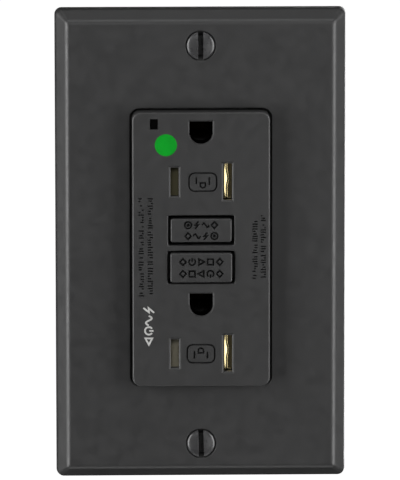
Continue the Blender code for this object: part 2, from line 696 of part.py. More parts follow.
def middle_housing():
    """The moulded block that holds the contacts apart."""
    low, high = HOUSING
    holes = []
    for z in SLOT_Z.values():
        for x in (-SLOT_X, SLOT_X):
            holes.append(rectangle((x - 2.7, x + 2.7), (z - 4.1, z + 4.1)))
        ground = z + GROUND_ABOVE_SLOTS
        holes.append(rectangle((-3.4, 3.4), (ground - 2.95, ground + 2.95)))
    holes.append(circle((0, RESET_BUTTON[2]), 1.6, 16))
    holes.append(rectangle((WINDOW_X - 1.2, WINDOW_X + 1.2), (WINDOW_Z - 1.5, WINDOW_Z + 1.5)))
    outline = offset(interior_outline(), 0.35)
    bm = bmesh.new()
    add_loft(bm, [(low, outline), (high, outline)])
    housing = place("middle_housing", bm, CASE_GREY)
    bm = bmesh.new()
    for hole in holes:
        add_loft(bm, [(low - 1, hole), (high + 1, hole)])
    combine(housing, "DIFFERENCE", place("housing_channels", bm))
    bm = bmesh.new()
    for z in SLOT_Z.values():
        ground = z + GROUND_ABOVE_SLOTS
        add_box(bm, (-5.7, 5.7), (low - 1, low + 1.1), (ground - 3.1, ground + 3.1))
    # Pockets that keep the moulding's walls even.
    for x in (-1, 1):
        add_box(bm, sorted((x * 12.8, x * 18.0)), (low + 1.6, high + 1), (-3.2, 3.2))
        add_box(bm, sorted((x * 10.6, x * 18.0)), (low + 1.6, high + 1), (-26.4, -21.9))
        add_box(bm, (x * 10.8 - 1.0, x * 10.8 + 1.0), (low + 1.6, high + 1), (-18.0, -6.0))
        add_box(bm, (x * 10.8 - 1.0, x * 10.8 + 1.0), (low + 1.6, high + 1), (5.0, 19.0))
    add_box(bm, (10.6, 18.0), (low + 1.6, high + 1), (21.9, 26.4))
    combine(housing, "DIFFERENCE", place("housing_recesses", bm))


def screw_hole(bm, side, z, radius=2.2):
    add_cylinder(bm, "X", (TERMINAL_Y, z), radius, *sorted((side * 17.5, side * 20.5)), 16)


def load_bus(name, side, material):
    """One load-side bus: two blade grips on a bar, with a terminal tab at the side."""
    low, high = BUS_BAR
    x = side * SLOT_X
    bm = bmesh.new()
    add_box(bm, (x - 2.1, x + 2.1), BUS_BAR, (-29.0, 20.2))
    bus = place(name, bm, material)
    half = [(1.85, 2.0), (1.02, 3.4), (1.02, low + 0.3)]
    path = [(x - u, y) for u, y in half] + [(x + u, y) for u, y in half[::-1]]
    bm = bmesh.new()
    for z in SLOT_Z.values():
        add_outline(bm, "XY", z - 3.7, z + 3.7, strip(path, 0.45))
    z = TERMINAL_Z["load"]
    add_box(bm, sorted((side * (SLOT_X + 1), side * TAB_X[1])), (low + 0.02, high - 0.02), (z - 2.8, z + 2.8))
    add_cylinder(bm, "Y", (x, RESET_BUTTON[2]), 1.4, high - 0.3, high + 0.9, 16)
    combine(bus, "UNION", place(f"{name}_grips", bm))
    bm = bmesh.new()
    add_box(bm, sorted((side * TAB_X[0], side * TAB_X[1])), (5.8, high), (z - 4.0, z + 4.0))
    combine(bus, "UNION", place(f"{name}_tab", bm))
    bm = bmesh.new()
    screw_hole(bm, side, z)
    combine(bus, "DIFFERENCE", place(f"{name}_screw_hole", bm))


def line_terminal(name, side, material):
    """One line-side terminal: the side tab and the foot where the contact arm is anchored."""
    z = TERMINAL_Z["line"]
    low, high = ARM_Y - 0.3, ARM_Y + 0.3
    bm = bmesh.new()
    add_box(bm, sorted((side * TAB_X[0], side * TAB_X[1])), (5.8, high), (z - 4.0, z + 4.0))
    terminal = place(name, bm, material)
    bm = bmesh.new()
    add_box(bm, sorted((side * 4.4, side * (TAB_X[0] + 0.4))), (low, high - 0.02), (z - 2.8, z + 2.8))
    combine(terminal, "UNION", place(f"{name}_foot", bm))
    bm = bmesh.new()
    screw_hole(bm, side, z)
    combine(terminal, "DIFFERENCE", place(f"{name}_screw_hole", bm))


def contact_arm(name, side):
    """A springy arm with a contact button, which the lifter holds against the load bus."""
    x = side * SLOT_X
    low, high = ARM_Y - ARM_THICKNESS / 2, ARM_Y + ARM_THICKNESS / 2
    bm = bmesh.new()
    add_box(bm, (x - 1.9, x + 1.9), (low, high), (-6.3, ARM_PIVOT_Z - 0.3))
    arm = place(name, bm, BRASS)
    bm = bmesh.new()
    add_cylinder(bm, "Y", (x, RESET_BUTTON[2]), 1.4, low - 0.9, low + 0.2, 16)
    combine(arm, "UNION", place(f"{name}_button", bm))
    pivot(f"{name}_axis", (x, ARM_Y, ARM_PIVOT_Z), arm)


def terminal_screw(name, material, location, axis):
    """A terminal screw: round head with a slot, and a shank through the tab and clamp plate."""
    head = [(0, 2.2), (2.6, 2.1), (3.4, 1.7), (3.7, 1.1), (3.7, 0.0)]
    profile = head + [(1.8, 0.0), (1.8, -4.3), (1.4, -4.8), (0, -4.8)]
    return turned_part(name, material, profile, location, axis, 16)


def side_terminal(pole, circuit, side, material):
    """The screw and the clamp plate of one side terminal."""
    z = TERMINAL_Z[circuit]
    name = f"{circuit}_{pole}"
    seat = side * (TAB_X[1] + CLEARANCE)
    axis = "+X" if side > 0 else "-X"
    screw = terminal_screw(f"{name}_screw", material, (seat, TERMINAL_Y, z), axis)
    bm = bmesh.new()
    add_box(bm, sorted((side * 20.8, side * 23.0)), (TERMINAL_Y - 5, TERMINAL_Y + 5), (z - 0.5, z + 0.5))
    combine(screw, "DIFFERENCE", place(f"{name}_screw_slot", bm))
    bm = bmesh.new()
    ends = sorted((side * (TAB_X[0] - CLEARANCE - 1.0), side * (TAB_X[0] - CLEARANCE)))
    square = rounded_rectangle(6.6, 8.0, 0.6, (TERMINAL_Y, z), 2)
    add_outline(bm, "YZ", *ends, square, [circle((TERMINAL_Y, z), 2.0, 16)])
    plate = place(f"{name}_clamp", bm, NICKEL)
    pivot(f"{name}_clamp_axis", (side * 17.7, TERMINAL_Y, z), plate)


def ground_terminal():
    """The green ground screw and its clamp plate, on the strap's tab."""
    seat = GROUND_TAB_Z[0] - CLEARANCE
    place_xy = (GROUND_TAB_X, GROUND_TAB_Y)
    screw = terminal_screw("ground_screw", GREEN_SCREW, (*place_xy, seat), "-Z")
    bm = bmesh.new()
    slot_x, slot_y = (GROUND_TAB_X - 5, GROUND_TAB_X + 5), (GROUND_TAB_Y - 0.5, GROUND_TAB_Y + 0.5)
    add_box(bm, slot_x, slot_y, (-41, seat - 1.1))
    combine(screw, "DIFFERENCE", place("ground_screw_slot", bm))
    bm = bmesh.new()
    low = GROUND_TAB_Z[1] + CLEARANCE
    square = rounded_rectangle(8.0, 8.0, 0.6, place_xy, 2)
    add_outline(bm, "XY", low, low + 1.0, square, [circle(place_xy, 2.0, 16)])
    pivot("ground_clamp_axis", (*place_xy, low), place("ground_clamp", bm, NICKEL))


# ---- Trip mechanism and electronics ----------------------------------------------------------


def lifter():
    """The block round the reset stem. Its wings hold the contact arms closed."""
    z = RESET_BUTTON[2]
    bm = bmesh.new()
    add_box(bm, (-4.5, 4.5), (16.3, 26.2), (z - 3.6, z + 3.6))
    block = place("lifter", bm, WHITE_PLASTIC)
    bm = bmesh.new()
    add_box(bm, (-9.0, 9.0), (ARM_Y + 0.5, 18.3), (z - 2.0, z + 2.0))
    add_box(bm, (-2.6, 2.6), (22.0, 26.0), (z + 3.0, z + 9.2))
    combine(block, "UNION", place("lifter_wings", bm))
    bm = bmesh.new()
    add_cylinder(bm, "Y", (0, z), 1.5, 15.0, 28.0, 16)
    combine(block, "DIFFERENCE", place("lifter_bore", bm))
    bm = bmesh.new()
    add_box(bm, (-3.3, 3.3), (LATCH_Y - 0.7, LATCH_Y + 0.7), (z - 5, z + 5.9))
    combine(block, "DIFFERENCE", place("lifter_slot", bm))
    bm = bmesh.new()
    add_cylinder(bm, "Z", (0, LATCH_Y), 0.85, z + 5.7, z + 8.3, 12)
    combine(block, "DIFFERENCE", place("lifter_spring_seat", bm))
    pivot("lifter_axis", (0, LATCH_Y, z), block)

    outline = rectangle((-3.0, 3.0), (z - 5.3, z + 4.6))
    hole = slot_outline((0, z - 0.8), 0.3, 1.35, upright=True)
    plate = outlined_part("latch_plate", STEEL, "XZ", LATCH_Y - 0.35, LATCH_Y + 0.35, outline, [hole])
    pivot("latch_plate_axis", (0, LATCH_Y, z), plate)
    coil_part("latch_spring", STEEL, (0, LATCH_Y, z + 4.75), "+Z", 3.4, 0.5, 0.12, 4, 8)


def solenoid():
    """The coil, its bobbin and the plunger that strikes the latch plate."""
    low, high = -27.2, -12.4
    bore, core, flange = 2.3, 3.0, 5.0
    spool = [
        (flange, high),
        (flange, high - 1.0),
        (core, high - 1.0),
        (core, low + 1.0),
        (flange, low + 1.0),
        (flange, low),
        (bore, low),
        (bore, high),
    ]
    turned_part("solenoid_bobbin", BLACK, spool, (0, LATCH_Y, 0), "+Z", 20, closed=True)
    wound, inner = 4.7, core + 0.25
    winding = [(wound, high - 1.2), (wound, low + 1.2), (inner, low + 1.2), (inner, high - 1.2)]
    turned_part("solenoid_coil", COPPER, winding, (0, LATCH_Y, 0), "+Z", 20, closed=True)
    tip = RESET_BUTTON[2] - 5.3 - CLEARANCE
    rod = [(0, tip), (1.6, tip), (1.6, -11.4), (2.0, -11.6), (2.0, -25.0), (0, -25.0)]
    turned_part("solenoid_plunger", STEEL, rod, (0, LATCH_Y, 0), "+Z", 16)


def electronics():
    """The board and the larger components on it."""
    z = RESET_BUTTON[2]
    outline = offset(interior_outline(), 0.5)
    bm = bmesh.new()
    add_loft(bm, [(y, outline) for y in BOARD])
    board = place("circuit_board", bm, BOARD_GREEN)
    bm = bmesh.new()
    add_box(bm, (-9.6, 9.6), (BOARD[0] - 1, BOARD[1] + 1), (z - 4.5, z + 4.7))
    combine(board, "DIFFERENCE", place("board_window", bm))
    ring = [(7.4, 3.2), (7.4, -3.2), (3.4, -3.2), (3.4, 3.2)]
    turned_part("current_transformer", BLACK, ring, (0, 22.2, 22.0), "-Y", 24, closed=True)
    bm = bmesh.new()
    add_cylinder(bm, "Y", (14.4, 0), 4.0, BOARD[1] + 0.3, BOARD[1] + 3.4)
    place("varistor", bm, BLUE)
    bm = bmesh.new()
    add_box(bm, (-17.6, -11.4), (BOARD[1] + 0.2, BOARD[1] + 1.5), (-3.1, 3.1))
    place("controller_chip", bm, BLACK)


# ---- Rear case -------------------------------------------------------------------------------


def rear_case():
    """The tub that closes the back: a bay for each side terminal, wire holes and screw posts."""
    taper = [(CASE_FRONT, 0.0, 2.0), (30.3, 0.0, 2.0), (CASE_BACK, 0.6, 1.6)]
    bm = bmesh.new()
    add_loft(
        bm,
        [(y, rounded_rectangle(CASE_WIDTH - 2 * d, CASE_HEIGHT - 2 * d, r)) for y, d, r in taper],
    )
    case = place("rear_case", bm, CASE_GREY)
    bm = bmesh.new()
    add_loft(bm, [(CASE_FRONT - 1, interior_outline()), (CASE_BACK - CASE_WALL, interior_outline())])
    combine(case, "DIFFERENCE", place("case_interior", bm))

    bm = bmesh.new()
    for side in (-1, 1):
        for z in TERMINAL_Z.values():
            bay_z = (z - BAY_HALF_HEIGHT, z + BAY_HALF_HEIGHT)
            add_box(bm, sorted((side * BAY_FLOOR_X, side * 23)), BAY_Y, bay_z)
    add_box(bm, (5.6, 16.4), (-1.0, 10.7), (-36.0, -31.3))
    combine(case, "DIFFERENCE", place("case_bays", bm))

    bm = bmesh.new()
    for side in (-1, 1):
        wall = sorted((side * 12.5, side * (BAY_FLOOR_X + 0.5)))
        z = TERMINAL_Z["load"]
        add_box(bm, wall, (BUS_BAR[0] - CLEARANCE, BUS_BAR[1] + CLEARANCE), (z - 3.1, z + 3.1))
        z = TERMINAL_Z["line"]
        add_box(bm, wall, (ARM_Y - 0.6, ARM_Y + 0.6), (z - 3.1, z + 3.1))
        for z in TERMINAL_Z.values():
            for wire in (-1, 1):
                hole = [(BAY_Y[1] - 1, 0.0), (CASE_BACK - 0.6, 0.0), (CASE_BACK + 0.5, 0.9)]
                centre = (side * WIRE_HOLE_X, z + wire * WIRE_HOLE_OFFSET)
                add_loft(bm, [(y, circle(centre, WIRE_HOLE_RADIUS + flare, 16)) for y, flare in hole])
        for end in (-1, 1):
            across = (side * CASE_SCREW_X, end * CASE_SCREW_Z)
            add_cylinder(bm, "Y", across, 1.35, -1.0, 27.8, 12)
    combine(case, "DIFFERENCE", place("case_holes", bm))
    bm = bmesh.new()
    for side in (-1, 1):
        for end in (-1, 1):
            add_cylinder(bm, "Y", (side * CASE_SCREW_X, end * CASE_SCREW_Z), 2.25, 27.5, CASE_BACK + 1, 20)
    combine(case, "DIFFERENCE", place("case_counterbores", bm))


def case_screws():
    """Four long screws that hold case, strap and cover together."""
    head = [(0, 1.7), (1.3, 1.6), (1.8, 1.1), (2.0, 0.5), (2.0, 0.0)]
    profile = head + [(1.0, 0.0), (1.0, -29.5), (0.6, -30.0), (0, -30.0)]
    names = ((-1, 1, "upper_left"), (1, 1, "upper_right"), (-1, -1, "lower_left"), (1, -1, "lower_right"))
    for side, end, corner in names:
        x, z = side * CASE_SCREW_X, end * CASE_SCREW_Z
        seat = 27.5 + CLEARANCE / 2
        screw = turned_part(f"case_screw_{corner}", STEEL, profile, (x, seat, z), "+Y", 12)
        bm = bmesh.new()
        cross = cross_outline((x, z), 1.3, 0.6)
        add_loft(bm, [(seat + 0.8, cross), (seat + 3.0, cross)])
        combine(screw, "DIFFERENCE", place(f"case_screw_recess_{corner}", bm))


wall_plate()
front_cover()
buttons()
test_leaf()
indicator()
mounting_strap()
middle_housing()
for end_name, end_side in (("upper", 1), ("lower", -1)):
    plate_screw(end_name, end_side)
    shutters(end_name)
    ground_contact(end_name)
    mounting_screw(end_name, end_side)
for pole_name, pole_side, pole_metal in (("hot", -1, BRASS), ("neutral", 1, NICKEL)):
    load_bus(f"load_bus_{pole_name}", pole_side, BRASS)
    line_terminal(f"line_terminal_{pole_name}", pole_side, BRASS)
    contact_arm(f"contact_arm_{pole_name}", pole_side)
    for circuit_name in TERMINAL_Z:
        side_terminal(pole_name, circuit_name, pole_side, pole_metal)
ground_terminal()
lifter()
solenoid()
electronics()
rear_case()
case_screws()
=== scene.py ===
"""Looks of the duplex wall outlet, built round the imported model. +Z is up and the face looks along -Y.

Lengths are millimetres in the shape code, and the helpers turn them into metres.
"""

import json
import math
import random

import bmesh
import bpy
from mathutils import Matrix, Vector

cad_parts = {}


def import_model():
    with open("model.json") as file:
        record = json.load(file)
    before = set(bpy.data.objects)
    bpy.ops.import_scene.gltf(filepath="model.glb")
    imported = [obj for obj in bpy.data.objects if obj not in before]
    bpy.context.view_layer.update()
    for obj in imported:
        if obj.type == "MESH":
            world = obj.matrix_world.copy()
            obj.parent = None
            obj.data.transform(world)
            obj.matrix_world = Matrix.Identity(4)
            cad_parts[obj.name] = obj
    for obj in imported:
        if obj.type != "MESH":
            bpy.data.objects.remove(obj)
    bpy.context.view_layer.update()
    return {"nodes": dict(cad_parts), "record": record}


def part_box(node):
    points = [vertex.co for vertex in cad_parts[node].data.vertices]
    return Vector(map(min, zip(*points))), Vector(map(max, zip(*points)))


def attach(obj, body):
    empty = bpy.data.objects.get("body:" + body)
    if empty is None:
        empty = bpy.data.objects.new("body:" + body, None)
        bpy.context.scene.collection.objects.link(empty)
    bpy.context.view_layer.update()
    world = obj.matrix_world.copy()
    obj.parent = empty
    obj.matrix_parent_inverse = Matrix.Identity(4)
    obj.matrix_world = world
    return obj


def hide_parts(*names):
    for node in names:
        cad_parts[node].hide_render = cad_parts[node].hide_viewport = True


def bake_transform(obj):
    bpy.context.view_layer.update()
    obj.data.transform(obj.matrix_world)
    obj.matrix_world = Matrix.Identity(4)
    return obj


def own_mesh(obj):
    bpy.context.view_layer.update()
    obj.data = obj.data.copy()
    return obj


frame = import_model()
NODES = frame["nodes"]
MM = 0.001
ROOT = "receptacle"
RANDOM = random.Random(7)


def height_of(node):
    """The height of a node's middle, in millimetres."""
    low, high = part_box(node)
    return round((low[2] + high[2]) / 2 / MM, 2)


PLATE_SIZE = (69.85, 114.3)
PLATE_FRONT = -5.8
PLATE_OPENING = (34.0, 67.6)
FACE_BLOCK = (33.0, 66.6)
FACE_Y = -9.2
FACE_CENTRE = (0.0, -0.45)  # of the raised face and of the opening round it
SLOT_X = 6.35
SLOT_Z = {end: height_of(f"hot_shutter_{end}") for end in ("upper", "lower")}
GROUND_ABOVE_SLOTS = 12.0
GROUND_RADIUS, GROUND_FLAT = 2.77, 2.6
HOT_SLOT, NEUTRAL_SLOT = (1.96, 6.9), (2.1, 8.8)
PLATE_SCREW_Z = 48.41
BOX_SCREW_Z = 41.67
CASE_SCREW_X, CASE_SCREW_Z = 17.95, 30.6
SHANK, CREST, PITCH = 1.42, 1.66, 0.79  # of the plate and box screws: radius, crest radius and thread pitch
TEST = {"size": (14.6, 5.7), "z": height_of("test_button"), "front": -9.45, "gap": (0.6, 0.75)}
RESET = {"size": (14.8, 7.1), "z": height_of("reset_button"), "front": -9.95, "gap": (0.6, 0.4)}
BUTTON_SHOULDER, BUTTON_BACK, BUTTON_EAR = -6.0, -4.9, 1.1
DOT_CENTRE, DOT_RADIUS = (-8.43, 24.95), 2.66
WINDOW_CENTRE, WINDOW_SIZE = (-11.27, 30.0), (1.9, 2.5)
PRINT_X = -12.6  # the white marks' column


# ---- Node materials --------------------------------------------------------------------------


class Shader:
    """A Principled material under construction, with helpers for its texture nodes."""

    def __init__(self, name, colour, roughness, metallic=0.0, **inputs):
        self.material = bpy.data.materials.new(name)
        self.material.use_nodes = True
        self.tree = self.material.node_tree
        self.main = self.tree.nodes["Principled BSDF"]
        self.main.inputs["Base Color"].default_value = (*colour, 1)
        self.main.inputs["Roughness"].default_value = roughness
        self.main.inputs["Metallic"].default_value = metallic
        for key, value in inputs.items():
            self.main.inputs[key.replace("_", " ")].default_value = value
        self.place = self.tree.nodes.new("ShaderNodeTexCoord").outputs["Object"]
        self.normal = None
        self.material.diffuse_color = (*colour, 1)

    def stretched(self, scale):
        node = self.tree.nodes.new("ShaderNodeMapping")
        node.inputs["Scale"].default_value = scale
        self.tree.links.new(self.place, node.inputs["Vector"])
        return node.outputs["Vector"]

    def noise(self, per_metre, detail=3.0, roughness=0.5, stretch=None):
        node = self.tree.nodes.new("ShaderNodeTexNoise")
        node.inputs["Scale"].default_value = per_metre
        node.inputs["Detail"].default_value = detail
        node.inputs["Roughness"].default_value = roughness
        self.tree.links.new(self.stretched(stretch) if stretch else self.place, node.inputs["Vector"])
        return node.outputs["Fac"]

    def spread(self, value, low, high, start=0.0, end=1.0):
        """value from start..end, spread over low..high."""
        node = self.tree.nodes.new("ShaderNodeMapRange")
        for key, number in (("From Min", start), ("From Max", end), ("To Min", low), ("To Max", high)):
            node.inputs[key].default_value = number
        self.tree.links.new(value, node.inputs["Value"])
        return node.outputs["Result"]

    def colours(self, value, *stops):
        """Base colour from a ramp of (position, colour) stops."""
        node = self.tree.nodes.new("ShaderNodeValToRGB")
        ramp = node.color_ramp
        while len(ramp.elements) < len(stops):
            ramp.elements.new(0.5)
        for element, (position, colour) in zip(ramp.elements, stops):
            element.position = position
            element.color = (*colour, 1)
        self.tree.links.new(value, node.inputs["Fac"])
        self.tree.links.new(node.outputs["Color"], self.main.inputs["Base Color"])

    def rough(self, value, low, high, start=0.3, end=0.7):
        self.tree.links.new(self.spread(value, low, high, start, end), self.main.inputs["Roughness"])

    def bump(self, value, depth_mm, strength=1.0):
        node = self.tree.nodes.new("ShaderNodeBump")
        node.inputs["Strength"].default_value = strength
        node.inputs["Distance"].default_value = depth_mm * MM
        self.tree.links.new(value, node.inputs["Height"])
        if self.normal is not None:
            self.tree.links.new(self.normal, node.inputs["Normal"])
        self.normal = node.outputs["Normal"]
        self.tree.links.new(self.normal, self.main.inputs["Normal"])


def shade(colour, factor):
    return tuple(min(c * factor, 1.0) for c in colour)


def moulded(name, colour, roughness, grain=0.012, grain_size=0.22, variation=0.06, **inputs):
    """Moulded plastic: a fine spark-eroded grain, faint flow marks and uneven gloss."""
    made = Shader(name, colour, roughness, **inputs)
    flow = made.noise(90, 4, 0.55, (1.0, 1.0, 0.35))
    made.colours(flow, (0.3, shade(colour, 1 - variation)), (0.7, shade(colour, 1 + variation)))
    made.rough(made.noise(420, 3), roughness - 0.05, roughness + 0.06)
    made.bump(made.noise(1 / (grain_size * MM), 2, 0.6), grain)
    made.bump(made.noise(260, 2, 0.4), 0.02, 0.5)
    return made.material


def metal(name, colour, roughness, tarnish=0.25, brushed=(1.0, 1.0, 1.0), depth=0.004, uneven=1.0):
    """Bare or plated metal: rolling lines, small scratches, and tarnish in soft patches."""
    made = Shader(name, colour, roughness, 1.0)
    patches = made.noise(170, 5, 0.6)
    made.colours(patches, (0.32, shade(colour, 1 - tarnish)), (0.62, colour), (0.85, shade(colour, 1.08)))
    made.rough(made.noise(600, 4, 0.6), roughness - 0.07 * uneven, roughness + 0.12 * uneven)
    made.bump(made.noise(2600, 3, 0.6, brushed), depth)
    return made.material


def enamel(name, colour, roughness, coat=0.0, **inputs):
    """Paint or plating with an orange-peel surface and small chips of gloss."""
    made = Shader(name, colour, roughness, Coat_Weight=coat, Coat_Roughness=0.12, **inputs)
    made.colours(made.noise(300, 4), (0.3, shade(colour, 0.88)), (0.7, shade(colour, 1.1)))
    made.rough(made.noise(900, 3), roughness - 0.06, roughness + 0.08)
    made.bump(made.noise(1900, 2), 0.012, 0.6)
    return made.material


CHARCOAL = moulded("charcoal_moulding", (0.019, 0.019, 0.0192), 0.46)
CHARCOAL_PLATE = moulded(
    "charcoal_plate_moulding", (0.0195, 0.0195, 0.0197), 0.44, grain=0.010, variation=0.03
)
CHARCOAL_SCREW = enamel("charcoal_enamel", (0.032, 0.032, 0.033), 0.3)
CASE_GREY = moulded(
    "case_moulding", (0.055, 0.057, 0.060), 0.5, grain=0.03, grain_size=0.35, variation=0.08
)
HOUSING_BLACK = moulded(
    "housing_moulding", (0.02, 0.02, 0.021), 0.5, grain=0.02, grain_size=0.3, variation=0.08
)
NYLON = moulded(
    "nylon_moulding", (0.62, 0.60, 0.55), 0.42, grain=0.008, variation=0.05, Subsurface_Weight=0.05
)
# Near-black colour for the box and card behind each ground hole: painted shade that keeps the holes looking
# dark.
SHADE_BLACK = moulded("painted_shade_black", (0.0012, 0.0012, 0.0012), 0.8, variation=0.02, Specular_IOR_Level=0.05)
# Lit and shaded copies of one shutter plastic: the olive copy is darkened with painted shade for the upper
# socket, and the tan copy is brightened with painted light for the lower socket.
SHUTTER_SHADED = moulded("shutter_moulding_painted_shade_olive", (0.3, 0.275, 0.162), 0.35, variation=0.1)
SHUTTER_LIT = moulded("shutter_moulding_painted_light_tan", (0.75, 0.69, 0.52), 0.33, variation=0.1)
SMOKE = moulded(
    "smoked_light_pipe", (0.001, 0.001, 0.001), 0.2, grain=0.002, variation=0.02, Specular_IOR_Level=0.1
)
ZINC = metal("zinc_plate", (0.56, 0.57, 0.57), 0.3, 0.3, (1.0, 1.0, 0.08))
ZINC_SPRING = metal("spring_steel", (0.5, 0.5, 0.51), 0.26, 0.2)
BRASS = metal("rolled_brass", (0.72, 0.5, 0.19), 0.28, 0.35, (1.0, 1.0, 0.1))
POLISHED_BRASS = metal("polished_brass", (0.82, 0.68, 0.36), 0.09, 0.12, (1.0, 0.2, 1.0), 0.001, 0.3)
# Brass darkened far below its own colour: painted shade for the ground contacts, seen deep inside the ground
# holes.
SHADED_BRASS = metal("brass_darkened_as_painted_shade", (0.1, 0.066, 0.022), 0.55, 0.3)
NICKEL = metal("nickel_plate", (0.63, 0.61, 0.56), 0.24, 0.2)
GREEN_METAL = metal("green_dyed_plate", (0.03, 0.30, 0.09), 0.32, 0.3)
BLACK_EPOXY = moulded("black_epoxy", (0.012, 0.012, 0.013), 0.35, grain=0.01)
BLUE_EPOXY = enamel("blue_dip", (0.02, 0.07, 0.28), 0.25, 0.3)
GREEN_INK = enamel("green_ink", (0.0015, 0.215, 0.012), 0.5, Specular_IOR_Level=0.1)
WHITE_INK = enamel("white_ink", (0.36, 0.36, 0.35), 0.5)


def copper_wire():
    made = Shader("enamelled_copper", (0.55, 0.19, 0.07), 0.25, 1.0, Coat_Weight=0.6, Coat_Roughness=0.1)
    made.colours(made.noise(500, 4), (0.3, (0.40, 0.12, 0.04)), (0.7, (0.66, 0.26, 0.10)))
    made.bump(made.noise(3000, 2), 0.004)
    return made.material


def fibre_card():
    made = Shader("vulcanised_fibre", (0.30, 0.21, 0.13), 0.85)
    fibres = made.noise(900, 5, 0.7, (0.2, 1.0, 1.0))
    made.colours(fibres, (0.3, (0.20, 0.13, 0.08)), (0.7, (0.38, 0.28, 0.18)))
    made.rough(made.noise(500, 3), 0.75, 0.95)
    made.bump(fibres, 0.03)
    return made.material


def board_laminate():
    """Solder mask over glass cloth, with the copper tracks showing as paler bands."""
    made = Shader("board_laminate", (0.012, 0.12, 0.045), 0.3, Coat_Weight=0.3, Coat_Roughness=0.15)
    tracks = made.tree.nodes.new("ShaderNodeTexBrick")
    tracks.inputs["Scale"].default_value = 260
    tracks.inputs["Mortar Size"].default_value = 0.035
    tracks.inputs["Color1"].default_value = (0.010, 0.105, 0.04, 1)
    tracks.inputs["Color2"].default_value = (0.016, 0.14, 0.055, 1)
    tracks.inputs["Mortar"].default_value = (0.035, 0.24, 0.09, 1)
    flat = made.tree.nodes.new("ShaderNodeMapping")
    flat.inputs["Rotation"].default_value = (math.pi / 2, 0, 0)
    made.tree.links.new(made.place, flat.inputs["Vector"])
    made.tree.links.new(flat.outputs["Vector"], tracks.inputs["Vector"])
    made.tree.links.new(tracks.outputs["Color"], made.main.inputs["Base Color"])
    made.rough(made.noise(800, 3), 0.25, 0.4)
    made.bump(made.noise(2500, 2, 0.5, (1.0, 1.0, 0.3)), 0.01)
    return made.material


COPPER = copper_wire()
FIBRE = fibre_card()
LAMINATE = board_laminate()


# ---- Shapes ----------------------------------------------------------------------------------


def turn_to(axis):
    """The rotation that takes +Z to an axis."""
    return Vector((0, 0, 1)).rotation_difference(Vector(axis)).to_matrix()


def arc(centre, radius, start, end, steps):
    angles = [math.radians(start + (end - start) * i / steps) for i in range(steps + 1)]
    return [(centre[0] + radius * math.cos(a), centre[1] + radius * math.sin(a)) for a in angles]


def circle(centre, radius, steps=32):
    return arc(centre, radius, 0, 360 * (steps - 1) / steps, steps - 1)


def rounded_rectangle(width, height, radius, centre=(0.0, 0.0), steps=8):
    points = []
    for quarter, (sx, sz) in enumerate(((1, 1), (-1, 1), (-1, -1), (1, -1))):
        corner = (centre[0] + sx * (width / 2 - radius), centre[1] + sz * (height / 2 - radius))
        points += arc(corner, radius, 90 * quarter, 90 * quarter + 90, steps)
    return points


def flared(size, radius, centre, stages, share, steps=8):
    """Sections (y, outline) of a rounded rectangle through stages (y, growth).

    Each side moves out by the growth, and the corners' radius grows by it over share.
    """
    sections = []
    for y, growth in stages:
        width, height = size[0] + 2 * growth, size[1] + 2 * growth
        sections.append((y, rounded_rectangle(width, height, radius + growth / share, centre, steps)))
    return sections


def ground_outline(height, grow=0.0, steps=24):
    """A ground pin's hole: flat on top, round below, with small corners."""
    radius, nip = GROUND_RADIUS + grow, 0.25
    top = height + GROUND_FLAT + grow
    lower = arc((0, height), radius, 180, 360, steps)
    right = arc((radius - nip, top - nip), nip, 0, 90, 3)
    left = arc((nip - radius, top - nip), nip, 90, 180, 3)
    return lower + right + left


def offset(points, distance, closed=True):
    """The points moved by a distance to the left of the way they run, with mitred corners."""
    moved = []
    count = len(points)
    for i, point in enumerate(points):
        before = points[(i - 1) % count] if closed or i else None
        after = points[(i + 1) % count] if closed or i < count - 1 else None
        normals = []
        for a, b in ((before, point), (point, after)):
            if a is None or b is None:
                continue
            length = math.hypot(b[0] - a[0], b[1] - a[1])
            normals.append(((a[1] - b[1]) / length, (b[0] - a[0]) / length))
        nx, nz = sum(n[0] for n in normals), sum(n[1] for n in normals)
        scale = len(normals) * distance / (nx * nx + nz * nz)
        moved.append((point[0] + nx * scale, point[1] + nz * scale))
    return moved


def add_loops(bm, loops, closed_ends=True, closed_run=False):
    """Skins a run of loops of points (x, y, z) that all have the same count."""
    rings = [[bm.verts.new([value * MM for value in point]) for point in loop] for loop in loops]
    faces = [bm.faces.new(rings[0]), bm.faces.new(rings[-1])] if closed_ends else []
    pairs = list(zip(rings, rings[1:])) + ([(rings[-1], rings[0])] if closed_run else [])
    for first, second in pairs:
        for i in range(len(first)):
            j = (i + 1) % len(first)
            faces.append(bm.faces.new((first[i], first[j], second[j], second[i])))
    bm.normal_update()
    bmesh.ops.recalc_face_normals(bm, faces=faces)


def add_loft(bm, sections):
    """A closed body through sections along Y, each (y, outline)."""
    add_loops(bm, [[(x, y, z) for x, z in outline] for y, outline in sections])


def add_groove(bm, path, width, low, high, closed=False):
    """A bar of even width that follows a path in the face's plane, from y low to y high."""
    left = offset(path, width / 2, closed)
    right = offset(path, -width / 2, closed)
    loops = [
        [(a[0], low, a[1]), (b[0], low, b[1]), (b[0], high, b[1]), (a[0], high, a[1])]
        for a, b in zip(left, right)
    ]
    add_loops(bm, loops, not closed, closed)


def add_box(bm, x, y, z):
    corners = [(x[0], z[0]), (x[1], z[0]), (x[1], z[1]), (x[0], z[1])]
    add_loft(bm, [(y[0], corners), (y[1], corners)])


def piece(name, bm, material, body, replaces=(), sharp=30, weighted=True):
    """Makes a visible piece of a bmesh: its material, the body it rides on and the nodes it stands for."""
    mesh = bpy.data.meshes.new(name)
    bm.to_mesh(mesh)
    bm.free()
    obj = bpy.data.objects.new(name, mesh)
    bpy.context.scene.collection.objects.link(obj)
    return dress(obj, material, body, replaces, sharp, weighted)


